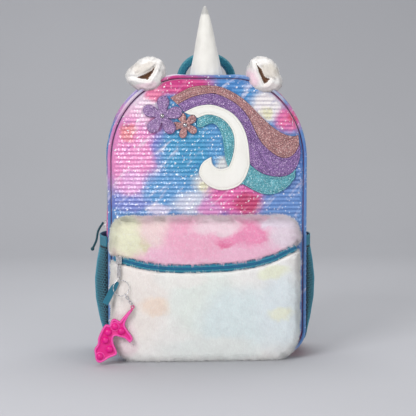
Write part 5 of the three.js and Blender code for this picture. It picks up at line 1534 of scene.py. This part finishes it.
def build_cord():
    rows = [CORD_START + np.array(p) * CORD_SPAN for p in CORD_ROUTE]
    path = smooth_line(rows, 1.0)
    twist = 0.12 * np.sin(np.arange(len(path)) * 2.2)
    cord = add("main_pull_cord_braid", *tube(path, CORD_RADIUS + twist, 12), MATERIALS["cord"],
               replaces=["main_pull_cord"], slot="cord")
    ahead = path[-1] - path[-2]
    ahead /= np.linalg.norm(ahead)
    knot_line = np.array([path[-1] + ahead * t for t in np.linspace(-1.5, 4.2, 12)])
    swell = 2.7 * np.sqrt(np.maximum(1 - (np.linspace(-1, 1, 12) * 0.98) ** 2, 0.03))
    knot = add("main_pull_knot", *tube(knot_line, swell, 14), MATERIALS["cord"], slot="cord")


build_rings()
build_ribbon()
build_charm()
build_cord()
dress("front_pull_tab", "dark_metal", 0.22)
dress("front_slider", "dark_metal", 0.3)
dress("main_slider", "dark_metal", 0.8)
dress("buckle_left", "buckle", 0.7)
dress("buckle_right", "buckle", 0.7)

# Camera, lights and floor
TARGET = Vector((0.0043, 0.0, 0.2105))
CAMERA_DISTANCE = 1.8
CAMERA_SIDE, CAMERA_LIFT = math.radians(-4.0), math.radians(4.5)


def build_camera():
    data = bpy.data.cameras.new("camera")
    data.lens = 106.5
    data.clip_start = 0.05
    camera = bpy.data.objects.new("camera", data)
    flat = math.cos(CAMERA_LIFT)
    camera.location = TARGET + CAMERA_DISTANCE * Vector((
        math.sin(CAMERA_SIDE) * flat, -math.cos(CAMERA_SIDE) * flat, math.sin(CAMERA_LIFT)))
    camera.rotation_euler = (TARGET - camera.location).to_track_quat("-Z", "Y").to_euler()
    SCENE.collection.objects.link(camera)
    SCENE.camera = camera


def area_light(name, place, aim, size, energy, tone=(1, 1, 1)):
    data = bpy.data.lights.new(name, "AREA")
    data.shape = "RECTANGLE"
    data.size, data.size_y = size
    data.energy = energy
    data.color = tone
    light = bpy.data.objects.new(name, data)
    light.location = place
    light.rotation_euler = (Vector(aim) - Vector(place)).to_track_quat("-Z", "Y").to_euler()
    light.visible_camera = False
    SCENE.collection.objects.link(light)


def build_lights():
    area_light("key", (-1.3, -1.7, 1.5), (0, 0, 0.22), (0.9, 0.9), 30)
    area_light("sequin_glint", (-0.27, -1.62, 0.26), (-0.1, 0, 0.28), (0.2, 0.46), 2.8)
    area_light("fill", (1.5, -1.6, 0.7), (0, 0, 0.2), (1.2, 1.2), 9)
    area_light("top", (0.1, 0.5, 1.7), (0, 0, 0.2), (1.2, 0.8), 14)
    world = bpy.data.worlds.new("studio")
    world.use_nodes = True
    world.node_tree.nodes["Background"].inputs[0].default_value = (1.0, 1.0, 1.0, 1)
    world.node_tree.nodes["Background"].inputs[1].default_value = 0.42
    SCENE.world = world


def build_floor():
    profile = [(-4.0, 0.0), (1.2, 0.0)]
    for a in np.linspace(0, math.pi / 2, 9)[1:]:
        profile.append((1.2 + 0.8 * math.sin(a), 0.8 - 0.8 * math.cos(a)))
    profile.append((2.0, 4.0))
    verts = [(x, y, z) for y, z in profile for x in (-5, 5)]
    faces = [(2 * i, 2 * i + 1, 2 * i + 3, 2 * i + 2) for i in range(len(profile) - 1)]
    mesh = bpy.data.meshes.new("studio_floor")
    mesh.from_pydata(verts, [], faces)
    made, tree, shader = material("studio_paper", 0.9)
    tone = noise(tree, millimetres(tree), 400, 2.0)
    paint(tree, shader, mixed(tree, tone, srgb(186, 187, 192), srgb(192, 193, 198)))
    mesh.materials.append(made)
    mesh.polygons.foreach_set("use_smooth", [True] * len(faces))
    floor = bpy.data.objects.new("studio_floor", mesh)
    SCENE.collection.objects.link(floor)


build_camera()
build_lights()
build_floor()
SCENE.view_settings.view_transform = "Standard"
